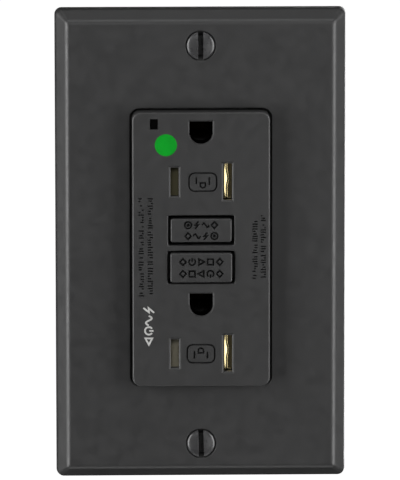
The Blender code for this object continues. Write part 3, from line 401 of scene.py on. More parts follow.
def dress(obj, material, body, replaces=(), sharp=30, weighted=True):
    """Gives an object its material and shading, and says what it rides on; a blended piece has no body."""
    obj.data.materials.clear()
    obj.data.materials.append(material)
    if obj.type == "MESH":
        obj.data.shade_smooth()
        obj.data.set_sharp_from_angle(angle=math.radians(sharp))
        if weighted:
            even = obj.modifiers.new("Even normals", "WEIGHTED_NORMAL")
            even.keep_sharp = True
    if body:
        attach(obj, body)
    if replaces:
        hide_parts(*replaces)
    return obj


def solid(bm):
    """A loose object made of a bmesh, for cutting."""
    mesh = bpy.data.meshes.new("solid")
    bm.to_mesh(mesh)
    bm.free()
    obj = bpy.data.objects.new("solid", mesh)
    bpy.context.scene.collection.objects.link(obj)
    return obj


def settle(obj):
    """Applies an object's modifiers to its mesh."""
    bpy.context.view_layer.update()
    graph = bpy.context.evaluated_depsgraph_get()
    mesh = bpy.data.meshes.new_from_object(obj.evaluated_get(graph))
    obj.modifiers.clear()
    obj.data = mesh


def combine(obj, operation, helper, crossing=False):
    """Cuts a helper from an object (DIFFERENCE), or joins it on (UNION), and removes the helper.

    crossing is for a helper whose own bodies cross each other.
    """
    modifier = obj.modifiers.new("Cut", "BOOLEAN")
    modifier.operation = operation
    modifier.solver = "EXACT"
    modifier.use_self = crossing
    modifier.object = helper
    settle(obj)
    bpy.data.objects.remove(helper)
    if not obj.data.polygons:
        raise RuntimeError(f"{operation} left nothing of {obj.name}")


def merged(mesh):
    """A bmesh of a mesh, with its doubled vertices merged and its flat areas made single faces."""
    fresh = bmesh.new()
    fresh.from_mesh(mesh)
    bmesh.ops.remove_doubles(fresh, verts=fresh.verts, dist=1e-6)
    bmesh.ops.dissolve_limit(fresh, angle_limit=math.radians(0.5), verts=fresh.verts, edges=fresh.edges)
    return fresh


def soften(obj, width, segments=2, angle=40):
    """Rounds an object's sharp edges."""
    fresh = merged(obj.data)
    fresh.to_mesh(obj.data)
    fresh.free()
    modifier = obj.modifiers.new("Round", "BEVEL")
    modifier.width = width * MM
    modifier.segments = segments
    modifier.limit_method = "ANGLE"
    modifier.angle_limit = math.radians(angle)
    modifier.use_clamp_overlap = False
    modifier.miter_outer = "MITER_ARC"
    settle(obj)


def body_of(node):
    return next(name for name, members in frame["record"]["behaviour"]["bodies"].items() if node in members)


def refined(node, material, width, cuts=None):
    """Stands in for a CAD node: the same solid with rounded edges and fine cuts."""
    obj = solid(merged(NODES[node].data))
    soften(obj, width)
    if cuts is not None:
        combine(obj, "DIFFERENCE", solid(cuts))
    obj.name = f"{node}_detailed"
    return dress(obj, material, body_of(node), (node,), 50)


def turned(name, profile, location, axis, steps=48):
    """A loose turned solid: (radius, height) points down its outer side, from the pole at the top."""
    bm = bmesh.new()
    turn = turn_to(axis)
    loops = []
    for radius, height in profile:
        ring = []
        for i in range(steps):
            angle = 2 * math.pi * i / steps
            point = Vector((radius * math.cos(angle), radius * math.sin(angle), height))
            ring.append(turn @ point + Vector(location))
        loops.append(ring)
    add_loops(bm, loops)
    obj = solid(bm)
    obj.name = name
    return obj


def threaded(name, core, crest, pitch, start, end, location, axis, steps=16):
    """A loose thread: a V ridge that winds along a shank from height start down to end."""
    bm = bmesh.new()
    turn = turn_to(axis)
    turns = (start - end) / pitch
    count = int(turns * steps)
    loops = []
    for i in range(count + 1):
        angle = -2 * math.pi * i / steps
        height = start - (start - end) * i / count
        fade = min(1.0, i / steps, (count - i) / steps)
        tip = core + (crest - core) * fade
        root, base, flat = core - 0.12, pitch * 0.42, pitch * 0.06
        profile = ((root, base), (tip, flat), (tip, -flat), (root, -base))
        loops.append(
            [
                turn @ Vector((r * math.cos(angle), r * math.sin(angle), height + h)) + Vector(location)
                for r, h in profile
            ]
        )
    add_loops(bm, loops)
    obj = solid(bm)
    obj.name = name
    return obj


def coil(name, node, start, axis, length, radius, wire, turns, body):
    """A coil spring with closed end turns, swept round a helix as a mesh tube."""
    bm = bmesh.new()
    turn = turn_to(axis)
    per_turn, around = 28, 8
    count = int(turns * per_turn)
    centres = []
    for i in range(count + 1):
        share = i / count
        eased = share - 0.06 * math.sin(2 * math.pi * share)
        angle = 2 * math.pi * i / per_turn
        height = wire + (length - 2 * wire) * eased
        centres.append(Vector((radius * math.cos(angle), radius * math.sin(angle), height)))
    loops = []
    for i, centre in enumerate(centres):
        along = (centres[min(i + 1, count)] - centres[max(i - 1, 0)]).normalized()
        out = Vector((centre.x, centre.y, 0)).normalized()
        side = along.cross(out).normalized()
        ring = []
        for k in range(around):
            angle = 2 * math.pi * k / around
            point = centre + wire * (math.cos(angle) * out + math.sin(angle) * side)
            ring.append(turn @ point + Vector(start))
        loops.append(ring)
    add_loops(bm, loops)
    return piece(name, bm, ZINC_SPRING, body, (node,), sharp=60, weighted=False)


# ---- Wall plate ------------------------------------------------------------------------------


def plate_section(inset):
    """The plate's outline, drawn in by an inset."""
    corner = max(1.7 - 0.35 * inset, 0.45)
    return rounded_rectangle(PLATE_SIZE[0] - 2 * inset, PLATE_SIZE[1] - 2 * inset, corner)


def wall_plate():
    """The plate as a smooth moulding: a steep side, a flat chamfer, and a crown that rolls into the face."""
    edge = [(0.06, 0.0), (0.0, 0.06), (0.15, 1.6), (0.22, 2.1), (0.35, 2.45), (0.6, 2.78), (2.3, 5.0)]
    crown_start, crown_end = (2.3, 5.0), (3.7, 5.8)
    bend = (2.9, 5.785)
    for i in range(1, 13):
        t = i / 12
        ends_and_bend = zip(crown_start, bend, crown_end)
        edge.append(tuple((1 - t) ** 2 * a + 2 * t * (1 - t) * b + t * t * c for a, b, c in ends_and_bend))
    bm = bmesh.new()
    add_loft(bm, [(-height, plate_section(inset)) for inset, height in edge])
    plate = solid(bm)

    bm = bmesh.new()
    inner = [(1.9, -1.0), (2.0, 0.12), (2.1, 2.0), (3.5, 3.4), (3.9, 3.6)]
    add_loft(bm, [(-height, plate_section(inset)) for inset, height in inner])
    combine(plate, "DIFFERENCE", solid(bm))
    bm = bmesh.new()
    for side in (1, -1):
        z = side * PLATE_SCREW_Z
        boss = [(-4.0, 3.1), (-1.9, 3.0), (-1.75, 2.85)]
        add_loft(bm, [(y, circle((0, z), r, 40)) for y, r in boss])
        for x in (-14.0, 14.0):
            low, high = sorted((side * 37.5, side * 54.6))
            add_box(bm, (x - 0.5, x + 0.5), (-4.0, -1.9), (low, high))
            add_box(bm, (x * 1.9 - 0.4, x * 1.9 + 0.4), (-4.0, -2.4), (low, high))
        add_box(bm, (-32.4, 32.4), (-4.0, -2.6), (side * 36.2 - 0.4, side * 36.2 + 0.4))
    for x in (-1, 1):
        for z in (-24.0, -8.0, 8.0, 24.0):
            add_box(bm, sorted((x * 18.4, x * 32.4)), (-4.0, -2.6), (z - 0.4, z + 0.4))
    combine(plate, "UNION", solid(bm))

    bm = bmesh.new()
    lip, radius = [(PLATE_FRONT - 0.6, 0.5)], 0.2
    for angle in (0, 30, 60, 90):
        a = math.radians(angle)
        lip.append((PLATE_FRONT + radius * (1 - math.cos(a)), radius * (1 - math.sin(a))))
    lip.append((0.5, 0.0))
    add_loft(bm, flared(PLATE_OPENING, 2.3, FACE_CENTRE, lip, 1))
    for side in (1, -1):
        z = side * PLATE_SCREW_Z
        cone = [(-6.3, 4.1), (-5.83, 3.82), (-5.7, 3.66), (-3.5, 2.05), (-3.4, 2.0), (0.5, 2.0)]
        add_loft(bm, [(y, circle((0, z), r, 56)) for y, r in cone])
    combine(plate, "DIFFERENCE", solid(bm))
    plate.name = "wall_plate_moulding"
    dress(plate, CHARCOAL_PLATE, ROOT, ("wall_plate",), 32)


def plate_screw(end, side, tilt):
    """Oval head with a slot right across, on a threaded shank."""
    z = side * PLATE_SCREW_Z
    dome = [(0.02, 0.62)]
    for angle in (12, 24, 36, 48, 60, 70, 78):
        a = math.radians(angle)
        dome.append((3.28 * math.sin(a), 0.72 * math.cos(a) - 0.1))
    rim = [(3.3, -0.02), (3.34, -0.12), (3.3, -0.26), (1.5, -1.95)]
    rim += [(SHANK, -2.1), (SHANK, -11.2), (1.1, -12.0), (0.02, -12.0)]
    name = f"plate_screw_{end}_turned"
    screw = turned(name, dome + rim, (0, PLATE_FRONT, z), (0, -1, 0), 64)
    bm = bmesh.new()
    half_slot = 0.62
    add_box(bm, (-half_slot, half_slot), (PLATE_FRONT - 1.5, PLATE_FRONT + 1.1), (-4, 4))
    slot = solid(bm)
    slot.data.transform(Matrix.Translation((0, 0, z * MM)) @ Matrix.Rotation(math.radians(tilt), 4, "Y"))
    combine(screw, "DIFFERENCE", slot)
    soften(screw, 0.07, 2, 50)
    thread = threaded("thread", SHANK, CREST, PITCH, -2.4, -11.2, (0, PLATE_FRONT, z), (0, -1, 0))
    combine(screw, "UNION", thread)
    dress(screw, CHARCOAL_SCREW, ROOT, (f"plate_screw_{end}",), 40)


# ---- Face ------------------------------------------------------------------------------------


def moved(path, centre, turn=0, scale=1.0):
    """A path scaled, turned and set on a centre."""
    c, s = math.cos(math.radians(turn)), math.sin(math.radians(turn))
    return [(centre[0] + scale * (x * c - z * s), centre[1] + scale * (x * s + z * c)) for x, z in path]


# Generic marks, each a list of (path, closed) in a box about 2 wide and 2 tall.
TARGET = [(circle((0, 0), 0.85, 20), True), (circle((0, 0), 0.22, 8), True)]
BOLT = [([(0.45, 0.95), (-0.4, -0.02), (0.35, 0.02), (-0.45, -0.95)], False)]
WAVE = [([(-0.9 + 0.15 * i, 0.55 * math.sin(math.pi * (i / 6))) for i in range(13)], False)]
DIAMOND = [([(-0.75, 0.0), (0.0, -0.85), (0.75, 0.0), (0.0, 0.85)], True)]
TRIANGLE = [([(-0.6, -0.75), (0.8, 0.0), (-0.6, 0.75)], True)]
SQUARE = [([(-0.7, -0.7), (0.7, -0.7), (0.7, 0.7), (-0.7, 0.7)], True)]
STAND = [(arc((0, 0), 0.8, 125, 415, 16), False), ([(0, 0.1), (0, 0.95)], False)]
SOCKET = [
    (rounded_rectangle(6.6, 4.4, 1.3, steps=4), True),
    ([(-1.55, -0.5), (-1.55, 1.15)], False),
    ([(1.55, -0.7), (1.55, 1.15)], False),
    (arc((0, -0.75), 0.62, 180, 360, 8) + [(0.62, -0.2), (-0.62, -0.2)], True),
]


def engrave(bm, marks, centre, turn, scale, width, surface, depth):
    """Adds the cutters for one mark, from just proud of a surface down to a depth."""
    for path, closed in marks:
        add_groove(bm, moved(path, centre, turn, scale), width, surface - 0.15, surface + depth, closed)


def engrave_row(bm, marks, centre, pitch, turn, scale, width, surface, depth):
    """A row of marks about a centre, read along the row's own direction."""
    middle = (len(marks) - 1) / 2
    along = math.radians(turn)
    for i, mark in enumerate(marks):
        step = (i - middle) * pitch
        place = (centre[0] + step * math.cos(along), centre[1] + step * math.sin(along))
        engrave(bm, mark, place, turn, scale, width, surface, depth)


def ticks(bm, x, low, high):
    """A column of short bars across it, of uneven length, which stands for small print."""
    longest, width, depth = 1.25, 0.3, 0.8
    z = high
    while z > low:
        length = RANDOM.choice((0.45, 0.8, 0.8, longest, longest))
        shift = RANDOM.choice((-1, 0, 1)) * (longest - length) / 2
        bar = [(x + shift - length / 2, z), (x + shift + length / 2, z)]
        add_groove(bm, bar, width, FACE_Y - 0.15, FACE_Y + depth)
        z -= RANDOM.choice((0.56, 0.56, 0.64, 0.64, 1.05))


def slot_mouth(bm, x, z, size):
    """A blade slot through the face, with a stepped and flared mouth."""
    mouth = [(-9.6, 0.62), (FACE_Y - 0.02, 0.52), (FACE_Y + 0.1, 0.45), (FACE_Y + 0.42, 0.2)]
    mouth += [(FACE_Y + 0.5, 0.04), (FACE_Y + 0.62, 0.0), (-6.7, 0.0)]
    add_loft(bm, flared(size, 0.14, (x, z), mouth, 3, 3))


def ground_hole_shade_box(end):
    """A near-black box behind a ground hole: painted shade that keeps the hole looking dark."""
    z = SLOT_Z[end] + GROUND_ABOVE_SLOTS
    bm = bmesh.new()
    add_box(bm, (-4.9, 4.9), (-7.36, -2.2), (z - 4.1, z + 3.55))
    shade_box = solid(bm)
    bm = bmesh.new()
    add_box(bm, (-4.3, 4.3), (-8.0, -2.8), (z - 3.6, z + 3.1))
    combine(shade_box, "DIFFERENCE", solid(bm))
    bm = bmesh.new()
    add_loft(bm, [(y, ground_outline(z, 0.1)) for y in (-4.0, -1.0)])
    combine(shade_box, "DIFFERENCE", solid(bm))
    shade_box.name = f"ground_hole_shade_box_{end}"
    dress(shade_box, SHADE_BLACK, ROOT, (), 32)


def button_opening(bm, button):
    """A hole for a button through the face, with a rounded lip."""
    size = [button["size"][k] + 2 * button["gap"][k] for k in (0, 1)]
    lip = [(-9.6, 0.4), (FACE_Y - 0.01, 0.27), (FACE_Y + 0.05, 0.17)]
    lip += [(FACE_Y + 0.14, 0.08), (FACE_Y + 0.3, 0.0), (-1.0, 0.0)]
    add_loft(bm, flared(size, 0.4, (0, button["z"]), lip, 2, 4))


def front_cover():
    """The moulded face, with rounded edges, flared holes, and engraved and printed marks."""
    flange = rounded_rectangle(42.0, 68.0, 2.0)
    radius = 0.42
    rounds = [(-3.3, 0.0), (FACE_Y + radius, 0.0)]
    for angle in (15, 30, 45, 60, 75, 90):
        a = math.radians(angle)
        rounds.append((FACE_Y + radius * (1 - math.sin(a)), -radius * (1 - math.cos(a))))
    bm = bmesh.new()
    add_loft(bm, [(-1.5, flange), (-3.3, flange)] + flared(FACE_BLOCK, 2.0, FACE_CENTRE, rounds, 3))
    cover = solid(bm)

    bm = bmesh.new()
    for low, high in ((9.9, 31.7), (-31.9, -9.9)):
        add_box(bm, (-14.7, 14.7), (-7.4, -1.0), (low, high))
    for button in (TEST, RESET):
        wide = button["size"][0] / 2 + button["gap"][0] + BUTTON_EAR
        high = button["size"][1] / 2 + button["gap"][1]
        add_box(bm, (-wide, wide), (BUTTON_SHOULDER - 0.3, -1.0), (button["z"] - high, button["z"] + high))
    for x in (-CASE_SCREW_X, CASE_SCREW_X):
        for z in (-CASE_SCREW_Z, CASE_SCREW_Z):
            add_loft(bm, [(-2.7, circle((x, z), 1.3, 20)), (-1.0, circle((x, z), 1.3, 20))])
    combine(cover, "DIFFERENCE", solid(bm))

    bm = bmesh.new()
    for z in SLOT_Z.values():
        slot_mouth(bm, -SLOT_X, z, HOT_SLOT)
        slot_mouth(bm, SLOT_X, z, NEUTRAL_SLOT)
        mouth = [(-9.6, 0.5), (FACE_Y - 0.01, 0.38), (FACE_Y + 0.08, 0.32), (FACE_Y + 0.38, 0.02)]
        mouth += [(FACE_Y + 0.45, 0.0), (FACE_Y + 0.55, 0.05), (-7.3, 0.8), (-7.0, 0.8)]
        add_loft(bm, [(y, ground_outline(z + GROUND_ABOVE_SLOTS, g)) for y, g in mouth])
    button_opening(bm, TEST)
    button_opening(bm, RESET)
    window = [(-9.6, 0.2), (FACE_Y + 0.06, 0.0), (-6.7, 0.0)]
    add_loft(bm, flared(WINDOW_SIZE, 0.15, WINDOW_CENTRE, window, 2, 3))
    combine(cover, "DIFFERENCE", solid(bm))

    bm = bmesh.new()
    stroke, depth = 0.38, 0.9
    engrave(bm, SOCKET, (0.4, SLOT_Z["upper"]), 0, 1.0, stroke, FACE_Y, depth)
    engrave(bm, SOCKET, (-0.1, SLOT_Z["lower"]), 180, 1.0, stroke, FACE_Y, depth)
    for x, low, high in ((-14.4, -12.2, 12.0), (-12.2, -11.4, 12.0), (12.9, -7.4, 6.4), (14.9, -7.6, 7.8)):
        ticks(bm, x, low, high)
    combine(cover, "DIFFERENCE", solid(bm))
    cover.name = "front_cover_moulding"
    dress(cover, CHARCOAL, ROOT, ("front_cover",), 32)
    # Near-black boxes behind the ground holes, as painted shade.
    for end in SLOT_Z:
        ground_hole_shade_box(end)

    bm = bmesh.new()
    dot = [(FACE_Y + 0.02, DOT_RADIUS), (FACE_Y - 0.012, DOT_RADIUS - 0.02)]
    add_loft(bm, [(y, circle(DOT_CENTRE, r, 64)) for y, r in dot])
    piece("green_printed_dot", bm, GREEN_INK, ROOT, weighted=False)

    bm = bmesh.new()
    marks = ((BOLT, -15.1, 1.35), (WAVE, -17.6, 1.3), (STAND, -20.1, 1.15), (TRIANGLE, -22.6, 1.1))
    for mark, z, scale in marks:
        for path, closed in mark:
            line = moved(path, (PRINT_X, z), -90, scale)
            add_groove(bm, line, 0.42, FACE_Y - 0.014, FACE_Y + 0.02, closed)
    piece("white_printed_marks", bm, WHITE_INK, ROOT, weighted=False)


def push_button(name, node, button, rows):
    """A button with rounded edges, ears, and two engraved rows of marks, one of them upside down."""
    width, height = button["size"]
    z, front = button["z"], button["front"]
    rounds = [(BUTTON_SHOULDER + 0.5, 0.0), (front + 0.32, 0.0), (front + 0.2, -0.03)]
    rounds += [(front + 0.09, -0.1), (front + 0.03, -0.2), (front, -0.34)]
    bm = bmesh.new()
    add_loft(bm, flared((width, height), 0.5, (0, z), rounds, 2, 5))
    made = solid(bm)
    bm = bmesh.new()
    ear = width / 2 + BUTTON_EAR
    add_box(bm, (-ear, ear), (BUTTON_SHOULDER, BUTTON_BACK), (z - height / 2 + 0.3, z + height / 2 - 0.3))
    combine(made, "UNION", solid(bm))
    if button is TEST:
        bm = bmesh.new()
        add_box(bm, (-1.0, 1.0), (BUTTON_BACK - 0.5, -4.0), (z - 0.9, z + 0.9))
        combine(made, "UNION", solid(bm))
    else:
        bm = bmesh.new()
        add_loft(bm, [(-7.0, circle((0, z), 1.3, 24)), (-4.0, circle((0, z), 1.3, 24))])
        combine(made, "DIFFERENCE", solid(bm))
    bm = bmesh.new()
    marks, row_z, pitch, scale, stroke = rows
    depth = 1.0
    engrave_row(bm, marks, (0, z + row_z), pitch, 0, scale, stroke, front, depth)
    engrave_row(bm, marks, (0, z - row_z), pitch, 180, scale, stroke, front, depth)
    combine(made, "DIFFERENCE", solid(bm), crossing=True)
    made.name = name
    dress(made, CHARCOAL, body_of(node), (node,), 32)


# ---- Shutters, screws and terminals ----------------------------------------------------------


def shutters(end, material):
    """One socket's pair of shutters in their frame, a half spring for each, and the neutral one's leaf."""
    half_length, travel = 5.5, 3.2
    refined(f"shutter_frame_{end}", NYLON, 0.15)
    refined(f"hot_shutter_{end}", material, 0.1)
    refined(f"neutral_shutter_{end}", material, 0.1)
    for side, tail in ((-1, "hot"), (1, "neutral")):
        name = f"shutter_spring_{end}_{tail}_half"
        start = (side * half_length, -5.15, SLOT_Z[end])
        half = coil(name, f"shutter_spring_{end}", start, (-side, 0, 0), half_length, 0.5, 0.11, 6, ROOT)
        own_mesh(half)
    contact_leaf(end)


def leaf_depth(x, z):
    """How far back the leaf's face lies: a narrow facet turned to the right, a step down, and a flat."""
    facet_end = 5.9 + 0.34 * math.exp(-(((z - 0.4) / 1.4) ** 2)) + 0.05 * math.sin(1.3 * z)
    lean = 0.19 + 0.0035 * z * z
    step = min(max((x - facet_end) / 0.42, 0.0), 1.0)
    step_down = 0.14 * step * step * (3 - 2 * step)
    return -6.7 + lean * (min(x, facet_end) - 5.5) + step_down + 0.02 * max(x - facet_end, 0.0)


def contact_leaf(end):
    """The polished strip behind the neutral slot, whose curve gives the slot its bright line."""
    centre, half, thickness, across, along = SLOT_Z[end], 4.3, 0.2, 28, 32
    left, right = 5.64, 8.32
    bm = bmesh.new()
    sheets = []
    for back in (0.0, thickness):
        rows = []
        for j in range(along + 1):
            z = half * (2 * j / along - 1)
            row = []
            for i in range(across + 1):
                x = left + (right - left) * i / across
                row.append(bm.verts.new((x * MM, (leaf_depth(x, z) + back) * MM, (centre + z) * MM)))
            rows.append(row)
        sheets.append(rows)
    for rows in sheets:
        for j in range(along):
            for i in range(across):
                bm.faces.new((rows[j][i], rows[j][i + 1], rows[j + 1][i + 1], rows[j + 1][i]))
    rims = []
    for rows in sheets:
        rim = rows[0] + [row[-1] for row in rows[1:]] + rows[-1][-2::-1] + [row[0] for row in rows[-2:0:-1]]
        rims.append(rim)
    for k, vertex in enumerate(rims[0]):
        m = (k + 1) % len(rims[0])
        bm.faces.new((vertex, rims[0][m], rims[1][m], rims[1][k]))
    bm.normal_update()
    bmesh.ops.recalc_face_normals(bm, faces=bm.faces)
    leaf = f"shutter_leaf_{end}"
    piece(f"{leaf}_polished", bm, POLISHED_BRASS, body_of(leaf), (leaf,), 50, False)


def cross_cutter(location, axis, arm, half_width, top, bottom):
    """A cross recess, loose, along an axis."""
    turn = turn_to(axis)
    w = half_width
    corners = [(arm, w), (w, w), (w, arm), (-w, arm), (-w, w), (-arm, w)]
    corners += [(-x, -y) for x, y in corners]
    loops = []
    for height, scale in ((top, 1.0), (bottom, 0.75)):
        loops.append([turn @ Vector((x * scale, y * scale, height)) + Vector(location) for x, y in corners])
    bm = bmesh.new()
    add_loops(bm, loops)
    return solid(bm)


def mounting_screw(end, side):
    """A long box screw with a domed head and a cross recess."""
    z = side * BOX_SCREW_Z
    head = [(0.02, 1.9), (0.8, 1.88), (1.7, 1.75), (2.5, 1.42)]
    head += [(3.05, 0.95), (3.28, 0.45), (3.3, 0.12), (3.22, 0.0)]
    shank = [(SHANK, 0.0), (SHANK, -29.5), (0.95, -31.0), (0.02, -31.0)]
    seat = -1.35
    made = turned("screw", head + shank, (0, seat, z), (0, -1, 0), 48)
    combine(made, "DIFFERENCE", cross_cutter((0, seat, z), (0, -1, 0), 1.9, 0.42, 2.3, 0.9))
    combine(made, "UNION", threaded("thread", SHANK, CREST, PITCH, -2.2, -29.4, (0, seat, z), (0, -1, 0)))
    made.name = f"mounting_screw_{end}_threaded"
    dress(made, ZINC, ROOT, (f"mounting_screw_{end}",), 35)


def case_screw(node, x, z):
    """A case screw, driven from behind into the face's flange."""
    seat = 27.65
    head = [(0.02, 1.7), (0.7, 1.68), (1.3, 1.5), (1.75, 1.12), (1.97, 0.6), (2.0, 0.1), (1.94, 0.0)]
    shank = [(0.86, 0.0), (0.86, -29.5), (0.5, -30.0), (0.02, -30.0)]
    made = turned("screw", head + shank, (x, seat, z), (0, 1, 0), 40)
    combine(made, "DIFFERENCE", cross_cutter((x, seat, z), (0, 1, 0), 1.25, 0.28, 2.0, 0.75))
    combine(made, "UNION", threaded("thread", 0.86, 1.0, 0.9, -20.0, -29.2, (x, seat, z), (0, 1, 0), 20))
    made.name = f"{node}_threaded"
    dress(made, ZINC, ROOT, (node,), 35)


def terminal_screw(node, location, axis, material, spin):
    """A terminal screw with a slotted, slightly domed head and a machine thread."""
    head = [(0.02, 2.2), (1.2, 2.19), (2.3, 2.08), (3.0, 1.86), (3.45, 1.5)]
    head += [(3.66, 1.1), (3.7, 0.8), (3.7, 0.12), (3.6, 0.0)]
    shank = [(1.62, 0.0), (1.62, -4.3), (1.3, -4.8), (0.02, -4.8)]
    made = turned("screw", head + shank, location, axis, 56)
    turn = turn_to(axis).to_4x4()
    bm = bmesh.new()
    add_box(bm, (-0.5, 0.5), (-5, 5), (1.15, 4.0))
    bmesh.ops.transform(bm, matrix=Matrix.Rotation(math.radians(spin), 4, "Z"), verts=bm.verts)
    bmesh.ops.transform(bm, matrix=turn, verts=bm.verts)
    bmesh.ops.translate(bm, vec=Vector(location) * MM, verts=bm.verts)
    combine(made, "DIFFERENCE", solid(bm))
    combine(made, "UNION", threaded("thread", 1.62, 1.84, 0.79, -0.3, -4.3, location, axis, 28))
    made.name = f"{node}_threaded"
    dress(made, material, body_of(node), (node,), 35)


def terminals():
    """The four side terminals and the ground terminal, with their screws, clamps and blades."""
    poles = (("hot", -1, BRASS, "brass"), ("neutral", 1, NICKEL, "nickel_plating"))
    for circuit, z in (("line", 12.0), ("load", -12.0)):
        for pole, side, material, slot in poles:
            node = f"{circuit}_{pole}_screw"
            spin = {"line": 78, "load": 97}[circuit] + 9 * side
            terminal_screw(node, (side * 19.7, 9.0, z), (side, 0, 0), material, spin)
            cuts = bmesh.new()
            for i in range(5):
                x = side * 18.2
                at = z - 3.2 + 1.6 * i
                corners = [(x - side * 0.22, at), (x + side * 0.1, at - 0.4), (x + side * 0.1, at + 0.4)]
                add_loops(cuts, [[(u, y, w) for u, w in corners] for y in (5.0, 13.0)])
            refined(f"{circuit}_{pole}_clamp", NICKEL, 0.06, cuts)
    terminal_screw("ground_screw", (11.0, 5.2, -36.5), (0, 0, -1), GREEN_METAL, 24)
    refined("ground_clamp", NICKEL, 0.08)
    for pole in ("hot", "neutral"):
        refined(f"load_bus_{pole}", BRASS, 0.07)
        refined(f"line_terminal_{pole}", BRASS, 0.07)
        refined(f"contact_arm_{pole}", BRASS, 0.05)


# ---- Body and works --------------------------------------------------------------------------


def rear_case():
    """The tub, with ejector marks, a blank recess and a strip gauge sunk in its back, and fine side lines."""
    cuts = bmesh.new()
    for x, z in ((-9.0, 27.5), (9.0, 27.5), (-9.0, -27.5), (9.0, -27.5), (0, 0)):
        add_loft(cuts, [(30.9, circle((x, z), 1.9, 40)), (32.0, circle((x, z), 1.9, 40))])
    recess = rounded_rectangle(17, 10, 1.0, (0, 14.0))
    gauge = rounded_rectangle(1.7, 14, 0.8, (0, -14.5))
    add_loft(cuts, [(30.78, recess), (32.0, recess)])
    add_loft(cuts, [(30.6, gauge), (32.0, gauge)])
    for z in (-25.5, 25.5):
        for side in (-1, 1):
            add_box(cuts, sorted((side * 21.12, side * 23)), (3.0, 27.0), (z - 0.6, z + 0.6))
    for side in (-1, 1):
        add_box(cuts, sorted((side * 21.12, side * 23)), (28.0, 28.6), (-24.0, 24.0))
        add_box(cuts, (-15.0, 15.0), (15.0, 15.7), sorted((side * 33.8, side * 36)))
    refined("rear_case", CASE_GREY, 0.22, cuts)


def mounting_strap():
    """The plated strap, with coined rings round its holes and a break-off line on each ear."""
    cuts = bmesh.new()
    for side in (1, -1):
        z = side * PLATE_SCREW_Z
        add_loft(cuts, [(-1.3, circle((0, z), 2.5, 40)), (-1.05, circle((0, z), 2.05, 40))])
        for x in (-1, 1):
            add_groove(cuts, [(x * 9.0, side * 45.2), (x * 9.0, side * 51.0)], 0.25, -0.12, 0.2)
    refined("mounting_strap", ZINC, 0.1, cuts)


def windings():
    """The solenoid's winding as laid wire, and the transformer's ring with its turns."""
    turns = []
    low, high, outer, inner = -25.9, -13.7, 4.66, 3.3
    count = 40
    for i in range(count * 4 + 1):
        height = high - (high - low) * i / (count * 4)
        turns.append((outer - 0.1 + 0.1 * abs(math.sin(math.pi * i / 4)), height))
    bm = bmesh.new()
    loops = []
    for radius, height in [(inner, high)] + turns + [(inner, low)]:
        loops.append([(r[0], 24.0 + r[1], height) for r in circle((0, 0), radius, 40)])
    add_loops(bm, loops, closed_ends=False, closed_run=True)
    piece("solenoid_winding", bm, COPPER, ROOT, ("solenoid_coil",), 60, False)

    refined("solenoid_bobbin", BLACK_EPOXY, 0.1)
    bm = bmesh.new()
    steps, lobes = 180, 60
    loops = []
    for i in range(steps):
        angle = 2 * math.pi * i / steps
        swell = 0.12 * abs(math.sin(lobes * angle / 2))
        section = rounded_rectangle(3.7 + 2 * swell, 6.1 + 2 * swell, 1.0, steps=3)
        ring = []
        for u, v in section:
            radius = 5.4 + u
            ring.append((radius * math.cos(angle), 22.2 + v, 22.0 + radius * math.sin(angle)))
        loops.append(ring)
    add_loops(bm, loops, closed_ends=False, closed_run=True)
    nodes = ("current_transformer",)
    piece("current_transformer_winding", bm, COPPER, ROOT, nodes, 60, False)


def electronics():
    """The board and what stands on it, and the indicator's lamp and light pipe."""
    refined("circuit_board", LAMINATE, 0.08)
    bm = bmesh.new()
    add_box(bm, (-16.6, -12.4), (18.7, 20.0), (-2.6, 2.6))
    for side in (-1, 1):
        for z in (-2.0, -1.0, 0.0, 1.0, 2.0):
            add_box(bm, sorted((-14.5 + side * 2.2, -14.5 + side * 3.1)), (18.7, 19.0), (z - 0.2, z + 0.2))
    chip = piece("controller_chip_package", bm, BLACK_EPOXY, ROOT, ("controller_chip",), 40)
    soften(chip, 0.06)
    rim = [(0.02, 3.1), (2.6, 3.05), (3.5, 2.6), (3.95, 1.6), (3.5, 0.6), (2.6, 0.15), (0.02, 0.1)]
    disc = turned("varistor_dipped", rim, (14.4, 18.8, 0), (0, 1, 0), 48)
    dress(disc, BLUE_EPOXY, ROOT, ("varistor",), 60)
    refined("indicator_lamp", NYLON, 0.15)
    refined("indicator_light_pipe", SMOKE, 0.05)


def ground_hole_shade_card(end):
    """A near-black card behind a ground contact: painted shade that keeps the ground hole looking dark."""
    z = SLOT_Z[end] + GROUND_ABOVE_SLOTS
    bm = bmesh.new()
    add_loft(bm, [(y, rounded_rectangle(9.4, 9.4, 1.0, (0, z), 4)) for y in (14.7, 15.3)])
    piece(f"ground_hole_shade_card_{end}", bm, SHADE_BLACK, ROOT, weighted=False)


